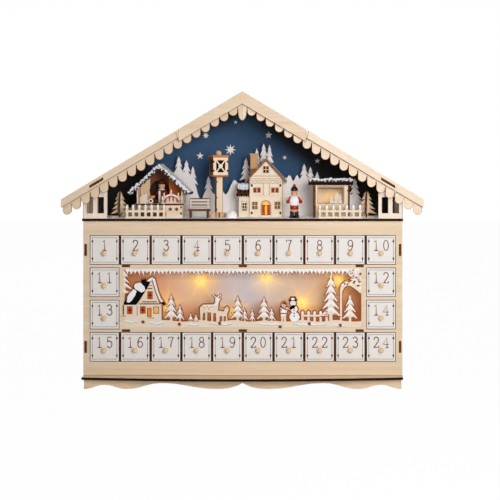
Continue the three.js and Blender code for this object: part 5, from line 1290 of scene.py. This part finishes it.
def make_lantern():
    place = (-32.8, 2, 20)
    foot = STAGE_FLOOR
    top, low = foot + 76.3, foot + 54
    tower = sheet_wood("lantern_wood", linear(250, 234, 210), linear(234, 210, 176), along="Z", cuts=(
        (("across", "Y", -9.9, -8.1), ("in", "Z", low, top), ("in", "X", -7, 7)),
        (("in", "X", -9.9, -8.3), ("in", "Z", low, top), ("in", "Y", -7.9, 7.9), ACROSS_X)),
        coats=(((("in", "Z", top, top + 3.1),), linear(196, 122, 70)),
               ((("in", "Z", low - 2.1, low),), linear(186, 116, 64)),
               # Painted shade: the left side of the lantern box is darker
               ((("in", "X", -9.9, -8), ALONG_X, ("in", "Z", low, top)), linear(126, 74, 46)),
               ((("in", "Z", foot - 1, foot + 7), ("in", "X", -12, 12)), linear(226, 190, 144)),
               # Painted shade: the sides of the post and its foot are darker than the front
               ((ALONG_X, ("in", "Z", foot, low - 2.1)), linear(150, 84, 46))), turned=place)
    dress(tower, "lantern_tower")
    work = Piece("lantern_trim", "beech")
    x, y, _ = place
    work.lines(cut_paths("lantern_tower", -9.8, 0.1, turned=place), -9.8, 0.7, "umber")
    # A char-coloured block fills the lantern box: painted shade inside it
    work.block((-7.4, -7.4, low + 0.1), (7.4, 7.4, top - 0.1), "char")
    middle = (low + top) / 2
    work.sheet(disc(0, middle, 2.7), -10.1, -8.3, "white", [disc(0, middle, 1.2, 12)])
    for level in (low + 4.2, top - 6.6):
        for a in (-9.9, 8.1):
            work.block((a, -9.95, level), (a + 1.8, -9.7, level + 2.4), "char")
        work.block((-9.95, -9, level), (-9.7, -6.4, level + 2.4), "char")
    for level in (foot + 9, foot + 24, foot + 44):
        work.block((-4.2, -4.25, level), (-2.9, -4.0, level + 2.4), "burnt")
    work.lines([[(-4.0, foot + 6.6), (-4.0, low - 2.2)], [(4.0, foot + 6.6), (4.0, low - 2.2)]], -4.1, 0.7, "burnt")
    work.mesh.transform(turn_about(place))
    work.ball(3.7, (x, y, top + 5.3), "knob", sides=24)
    work.done()


def make_figure():
    """The turned old man in a winter coat, with a plain painted face"""
    x, y, foot = 64, -16, STAGE_FLOOR
    work = Piece("winter_man", "red")
    for side in (-1, 1):
        work.turned([(0, 0), (3.1, 0), (3.3, 1.4), (2.7, 3.6), (2.6, 8.6), (0, 8.8)], (x + side * 2.9, y, foot),
                    "black_gloss", 20)
        work.ball(2.4, (x + side * 3.1, y - 2.2, foot + 1.9), "black_gloss", (1, 1.2, 0.8), 18)
    work.turned([(0, 7.6), (4.3, 7.6), (4.5, 9), (4.3, 11.4), (0, 11.6)], (x, y, foot), "beech", 28)
    work.turned([(0, 10.9), (5.4, 10.9), (5.6, 12), (5.2, 14), (4.8, 20), (4.4, 25.5), (3.1, 28.2), (0, 28.4)],
                (x, y, foot), "red", 28)
    work.turned([(0, 27.4), (2.6, 27.6), (4.1, 30), (4.3, 33), (3.5, 36), (0, 37)], (x, y, foot), "peach", 28)
    work.turned([(0, 34.2), (4.5, 34.2), (4.6, 35.8), (4.1, 37.4), (2.6, 39.4), (0, 40)], (x, y, foot), "black_gloss",
                28)
    work.ball(2.1, (x, y, foot + 40.6), "red", sides=20)
    beard = [(0, -7.2), (2.6, -6.8), (4.9, -4.2), (5.9, -0.4), (5.4, 3.2), (3.4, 6.2), (0, 7.2)]
    work.turned(beard, (x, y - 2.9, foot + 21.4), "snow", 26, Matrix.Diagonal((1, 0.55, 1, 1)))
    for side in (-1, 1):
        work.grains([(x + side * 1.5, y - 4.1, foot + 32.9)], 0.55, "black", detail=1)
        work.lines([[(x + side * 0.8, foot + 34), (x + side * 2.3, foot + 34.2)]], y - 4.2, 0.5, "brown")
        work.grains([(x + side * 2.4, y - 3.6, foot + 31.2)], 0.9, "blush", stretch=(1, 0.4, 0.8))
        shoulder = rotation(side * 150, "Y")
        work.turned([(0, -0.8), (2.1, 0), (2.5, 3.6), (2.3, 7.6), (0, 8.2)], (x + side * 3.6, y, foot + 26.4), "red",
                    18, shoulder)
        forearm = rotation(side * 22, "Y")
        work.turned([(0, -1.4), (2.2, -0.6), (2.0, 3), (0, 3.6)], (x + side * 7.6, y - 0.4, foot + 19.6), "red", 18,
                    forearm)
        work.ball(1.9, (x + side * 9.1, y - 0.8, foot + 24), "peach", sides=18)
    work.ball(0.85, (x, y - 4.4, foot + 31.4), "peach", sides=14)
    work.done(replaces=("figure",))


def kiosk_finish():
    """Pale boards with charred cuts, dark scallops under the snow and dark red reveals"""
    top = STAGE_FLOOR + 41.4
    return sheet_wood("kiosk_wood", linear(250, 236, 210), linear(238, 216, 182), along="Z", cuts=(
        (("across", "Y", -10.1, -7.9), ("in", "Z", 0, top)), (("along", "Y", -12.1, -11.9),)),
        coats=(((("in", "Z", top, ABOVE),), linear(50, 30, 22)), ((("up",), ("in", "Z", top, ABOVE)), ROOF_SNOW),
               ((("in", "Y", -10.1, -7.9), ("in", "X", 87, 91), ("in", "Z", 0, top)), linear(112, 64, 42)),
               ((("in", "Y", 16, 18.1), ("in", "Z", STAGE_FLOOR, top)), linear(240, 206, 150)),
               ((ALONG_X, ("in", "X", 89.6, 132.2)), linear(140, 62, 36))))


def make_kiosk():
    dress(kiosk_finish(), "kiosk")
    foot = STAGE_FLOOR
    work = Piece("kiosk_trim", "frost")
    eave = [(82.5, -14, foot + 48.6), (137, -14, foot + 48.6)]
    work.grains(roof_snow(eave, 2.4, 12, 0.9), 1.9, "frost", stretch=(1.1, 0.5, 0.75), variation=0.4, seed=5)
    specks = [(x, -14.3, z - 2.2) for x, _, z in roof_snow(eave, 5, 3, 0.8)]
    work.grains(specks, 0.8, "frost", stretch=(1, 0.5, 0.8), variation=0.4, seed=6)
    scallops = [oval(83.4 + 3.32 * i, foot + 43.2, 1.66, 2.0, 12)[6:] for i in range(17)]
    for curve in scallops:
        work.sheet([(curve[0][0], foot + 45), *curve, (curve[-1][0], foot + 45)], -14.6, -13.9, "char")
    glow = Piece("kiosk_light", kiosk_light())
    glow.sheet([(90.5, foot + 17.6), (131.5, foot + 17.6), (131.5, foot + 41), (90.5, foot + 41)], 17.2, 17.7,
               glow.finishes[0])
    glow.done()
    for x, wide, tall in ((111, 6.5, 12), (122, 6.5, 12.5), (117, 7.5, 15.5)):
        y = -5.6 if x != 117 else -4.9
        work.sheet(small_fir(x, foot + 17.8, wide, tall, 0.22, 0.45), y, y + 0.5, "white")
        work.lines([[(x - wide / 2 + 0.4, foot + 18.4), (x, foot + 17.8 + tall - 1),
                     (x + wide / 2 - 0.4, foot + 18.4)]], y, 0.4, "scorch")
    frame_edges = [frame_path(93.4, foot + 18, 126.9, foot + 39.5), [(88.1, foot + 1), (88.1, foot + 41)],
                   [(133.4, foot + 1), (133.4, foot + 41)]]
    work.lines(frame_edges, -10, 0.9, "scorch")
    for x, low in ((88.2, 3.4), (88.2, 12), (131, 3.4), (131, 12), (88.2, 33), (131, 33)):
        work.block((x, -10.15, foot + low), (x + 2.2, -9.9, foot + low + 2.6), "char")
    work.lines([[(95, foot + 36.6), (125.5, foot + 36.6)]], -8, 1.0, "brown")
    work.done()


def kiosk_light():
    """The kiosk's back wall in the light of its lamp"""
    material, wiring, shader = new_material("kiosk_lamplight", 0.7)
    place = wiring.coordinates()
    distance = wiring.node(
        "ShaderNodeVectorMath", {0: place, 1: (0.113, 0.017, (STAGE_FLOOR + 21) * MM)}, operation="DISTANCE"
    ).outputs["Value"]
    near = wiring.spread(distance, 0.0, 0.016, 1.0, 0.0)
    warm = wiring.mix(near, linear(238, 210, 174), linear(255, 204, 100))
    colour = wiring.mix(wiring.math("MULTIPLY", wiring.noise(place, 160.0), 0.2), warm, linear(214, 166, 112))
    strength = wiring.math("MULTIPLY_ADD", near, 0.4, 0.2)
    wiring.feed(shader, {"Base Color": colour, "Emission Color": colour, "Emission Strength": strength})
    return material


def make_firs(settings):
    """The two slotted firs, charred on every saw cut"""
    light, dark = tuple(settings.wood.light), tuple(settings.wood.dark)
    for node, place in (("fir_left", (-158.8, 4, 0)), ("fir_right", (156, 4, -9))):
        dress(sheet_wood(f"{node}_wood", light, dark, along="Z", turned=place, cuts=(
            (("across", "Y", -1.05, 1.05),), (("across", "X", -1.05, 1.05),))), node)
        edges = Piece(f"{node}_edges", "umber")
        edges.lines(cut_paths(node, -1, 0.1, turned=place), -1, 0.85, "umber")
        edges.mesh.transform(turn_about(place))
        edges.done()


# Lamps and battery box


def make_lamps():
    cord, wiring, shader = new_material("lamp_cord", 0.5)
    sheen = wiring.noise(wiring.coordinates(), 900.0)
    wiring.feed(shader, {"Base Color": wiring.mix(sheen, linear(74, 92, 56), linear(52, 66, 40))})
    dress(cord, "light_string")
    lamps = Piece("window_lamps", "lamp")
    tips = [(x, -4.6, z) for x, z in WINDOW_LAMPS]
    lamps.grains(tips, 2.45, "lamp", stretch=(1, 1.25, 1), detail=3)
    lamps.done()


def make_battery_box():
    plastic, wiring, shader = new_material("moulded_plastic", 0.42, specular=0.5)
    pebble = wiring.noise(wiring.coordinates(), 2600.0)
    wiring.feed(shader, {"Base Color": wiring.mix(pebble, (0.022, 0.022, 0.024), (0.034, 0.034, 0.036)),
                         "Normal": wiring.bump(pebble, 0.4, 0.00008)})
    dress(plastic, "battery_box", "battery_lid", "lamp_switch")


# Studio


def area_light(name, place, size, power, colour):
    data = bpy.data.lights.new(name, "AREA")
    data.energy, data.size, data.color = power, size, colour
    lamp = new_object(name, data)
    lamp.location = place
    lamp.rotation_euler = (Vector(LIGHT_TARGET) - lamp.location).to_track_quat("-Z", "Y").to_euler()


# Each light's name, place, size, power setting, share of that setting and colour
LIGHTS = (
    ("key_light", (0.36, -0.95, 0.42), 0.4, "key", 1, (1.0, 0.955, 0.935)),
    ("fill_light", (-1.3, -1.2, 0.6), 1.2, "fill", 1, (1, 1, 1)),
    ("top_light", (0.2, -0.9, 1.3), 0.8, "fill", 3, (1, 1, 1)),
    ("back_light", (-0.7, 1.5, 0.9), 1.0, "fill", 9, (1, 1, 1)),
)
LIGHT_TARGET = (0, 0, 0.18)
# Brings the view to the photo's
CAMERA_SHIFT = (-0.1457, -0.187)
WORLD_LIGHT = 0.14
FLOOR_REACH = 4000


def seen_white(wiring):
    """1 for rays that show a surface to the camera, straight, by gloss or through glass"""
    path = wiring.node("ShaderNodeLightPath").outputs
    shown = wiring.math("ADD", path["Is Camera Ray"], path["Is Glossy Ray"])
    return wiring.math("MINIMUM", wiring.math("ADD", shown, path["Is Transmission Ray"]), 1.0)


def make_floor():
    """A sheet of white paper that the camera sees as bright as the world"""
    paper, wiring, shader = new_material("floor_paper", 0.9)
    tone = wiring.noise(wiring.coordinates(), 3.0)
    wiring.feed(shader, {"Base Color": wiring.mix(tone, (0.9, 0.9, 0.9), (0.93, 0.93, 0.93))})
    glow = wiring.node("ShaderNodeEmission", {"Color": (1, 1, 1, 1), "Strength": 1.0}).outputs[0]
    share = wiring.math("MULTIPLY", seen_white(wiring), 0.98)
    blend = wiring.node("ShaderNodeMixShader", {0: share, 1: shader.outputs[0], 2: glow}).outputs[0]
    wiring.feed(wiring.tree.nodes["Material Output"], {"Surface": blend})
    mesh = bpy.data.meshes.new("floor")
    corners = frame_path(-FLOOR_REACH, -FLOOR_REACH, FLOOR_REACH, FLOOR_REACH)[:-1]
    mesh.from_pydata([(x * MM, y * MM, 0) for x, y in corners], [], [range(4)])
    mesh.materials.append(paper)
    return new_object("floor", mesh)


def make_studio(settings):
    studio = settings.studio
    scene = bpy.context.scene
    scene.view_settings.view_transform = "Standard"
    world = bpy.data.worlds.new("studio")
    scene.world = world
    world.use_nodes = True
    wiring = Wiring(world.node_tree)
    strength = wiring.math("MULTIPLY_ADD", seen_white(wiring), 1 - WORLD_LIGHT, WORLD_LIGHT)
    wiring.feed(world.node_tree.nodes["Background"], {"Color": (1, 1, 1, 1), "Strength": strength})
    ground = make_floor()
    for name, place, size, setting, share, colour in LIGHTS:
        area_light(name, place, size, getattr(studio, setting) * share, colour)
    data = bpy.data.cameras.new("camera")
    data.lens, data.sensor_width = studio.lens, 36
    data.shift_x, data.shift_y = CAMERA_SHIFT
    camera = new_object("camera", data)
    camera.location = (studio.aside, FACE_Y * MM - studio.distance, studio.height)
    camera.rotation_euler = (math.radians(90), 0, 0)
    scene.camera = camera


# Operators


class CALENDAR_OT_finishes(bpy.types.Operator):
    """Mix the wood, paint and burnt finishes"""

    bl_idname = "calendar.finishes"
    bl_label = "Finishes"

    def execute(self, context):
        TREES.update(line=line_tree(), grain=grain_tree())
        make_finishes(context.scene.calendar)
        return {"FINISHED"}


class CALENDAR_OT_cabinet(bpy.types.Operator):
    """Finish the cabinet's boards, the stage, its fences and hills"""

    bl_idname = "calendar.cabinet"
    bl_label = "Cabinet"

    def execute(self, context):
        dress_cabinet()
        return {"FINISHED"}


class CALENDAR_OT_roof(bpy.types.Operator):
    """Finish the roof panels, bargeboards and scalloped boards"""

    bl_idname = "calendar.roof"
    bl_label = "Roof"

    def execute(self, context):
        dress_roof(context.scene.calendar)
        return {"FINISHED"}


class CALENDAR_OT_drawers(bpy.types.Operator):
    """Paint the drawers and add their numbers, scored frames and turned knobs"""

    bl_idname = "calendar.drawers"
    bl_label = "Drawers"

    def execute(self, context):
        make_drawers(context.scene.calendar)
        return {"FINISHED"}


class CALENDAR_OT_window(bpy.types.Operator):
    """Paint the fretwork window and its lit backdrop"""

    bl_idname = "calendar.window"
    bl_label = "Fretwork window"

    def execute(self, context):
        make_window()
        return {"FINISHED"}


class CALENDAR_OT_sky(bpy.types.Operator):
    """Paint the night sky and its stars"""

    bl_idname = "calendar.sky"
    bl_label = "Night sky"

    def execute(self, context):
        make_sky(context.scene.calendar)
        return {"FINISHED"}


class CALENDAR_OT_chalet(bpy.types.Operator):
    """Finish the market chalet with its keeper, goods and snow"""

    bl_idname = "calendar.chalet"
    bl_label = "Market chalet"

    def execute(self, context):
        make_chalet()
        return {"FINISHED"}


class CALENDAR_OT_house(bpy.types.Operator):
    """Finish the town house, its windows, door and annex"""

    bl_idname = "calendar.house"
    bl_label = "Town house"

    def execute(self, context):
        make_house()
        return {"FINISHED"}


class CALENDAR_OT_lantern(bpy.types.Operator):
    """Finish the lantern tower"""

    bl_idname = "calendar.lantern"
    bl_label = "Lantern tower"

    def execute(self, context):
        make_lantern()
        return {"FINISHED"}


class CALENDAR_OT_figure(bpy.types.Operator):
    """Turn and paint the old man in a winter coat"""

    bl_idname = "calendar.figure"
    bl_label = "Winter figure"

    def execute(self, context):
        make_figure()
        return {"FINISHED"}


class CALENDAR_OT_kiosk(bpy.types.Operator):
    """Finish the kiosk, its goods, snow and lamplight"""

    bl_idname = "calendar.kiosk"
    bl_label = "Kiosk"

    def execute(self, context):
        make_kiosk()
        return {"FINISHED"}


class CALENDAR_OT_firs(bpy.types.Operator):
    """Finish the two slotted firs"""

    bl_idname = "calendar.firs"
    bl_label = "Slotted firs"

    def execute(self, context):
        make_firs(context.scene.calendar)
        return {"FINISHED"}


class CALENDAR_OT_lamps(bpy.types.Operator):
    """Finish the light string and its lamps in the window"""

    bl_idname = "calendar.lamps"
    bl_label = "Lamps"

    def execute(self, context):
        make_lamps()
        return {"FINISHED"}


class CALENDAR_OT_battery(bpy.types.Operator):
    """Finish the battery box, its lid and switch"""

    bl_idname = "calendar.battery"
    bl_label = "Battery box"

    def execute(self, context):
        make_battery_box()
        return {"FINISHED"}


class CALENDAR_OT_studio(bpy.types.Operator):
    """Set up the table, the lights and the camera"""

    bl_idname = "calendar.studio"
    bl_label = "Studio"

    def execute(self, context):
        make_studio(context.scene.calendar)
        return {"FINISHED"}


OPERATORS = (
    CALENDAR_OT_finishes, CALENDAR_OT_cabinet, CALENDAR_OT_roof, CALENDAR_OT_drawers, CALENDAR_OT_window,
    CALENDAR_OT_sky, CALENDAR_OT_chalet, CALENDAR_OT_house, CALENDAR_OT_lantern, CALENDAR_OT_figure,
    CALENDAR_OT_kiosk, CALENDAR_OT_firs, CALENDAR_OT_lamps, CALENDAR_OT_battery, CALENDAR_OT_studio,
)


class CALENDAR_PT_panel(bpy.types.Panel):
    """Lists the calendar's settings and the steps that make it"""

    bl_idname = "CALENDAR_PT_panel"
    bl_label = "Advent calendar"
    bl_space_type = "VIEW_3D"
    bl_region_type = "UI"
    bl_category = "Calendar"

    def draw(self, context):
        settings = context.scene.calendar
        for group in (settings.wood, settings.drawers, settings.scallops, settings.studio):
            box = self.layout.box()
            for name in group.bl_rna.properties.keys():
                if name not in ("rna_type", "name"):
                    box.prop(group, name)
        for operator in OPERATORS:
            self.layout.operator(operator.bl_idname)


CLASSES = (CALENDAR_PG_wood, CALENDAR_PG_drawers, CALENDAR_PG_scallops, CALENDAR_PG_studio, CALENDAR_PG_all, *OPERATORS,
           CALENDAR_PT_panel)


def register():
    for made in CLASSES:
        bpy.utils.register_class(made)
    bpy.types.Scene.calendar = bpy.props.PointerProperty(type=CALENDAR_PG_all)


def unregister():
    del bpy.types.Scene.calendar
    for made in reversed(CLASSES):
        bpy.utils.unregister_class(made)


def main():
    register()
    for operator in OPERATORS:
        group, name = operator.bl_idname.split(".")
        getattr(getattr(bpy.ops, group), name)()


if __name__ == "__main__":
    main()
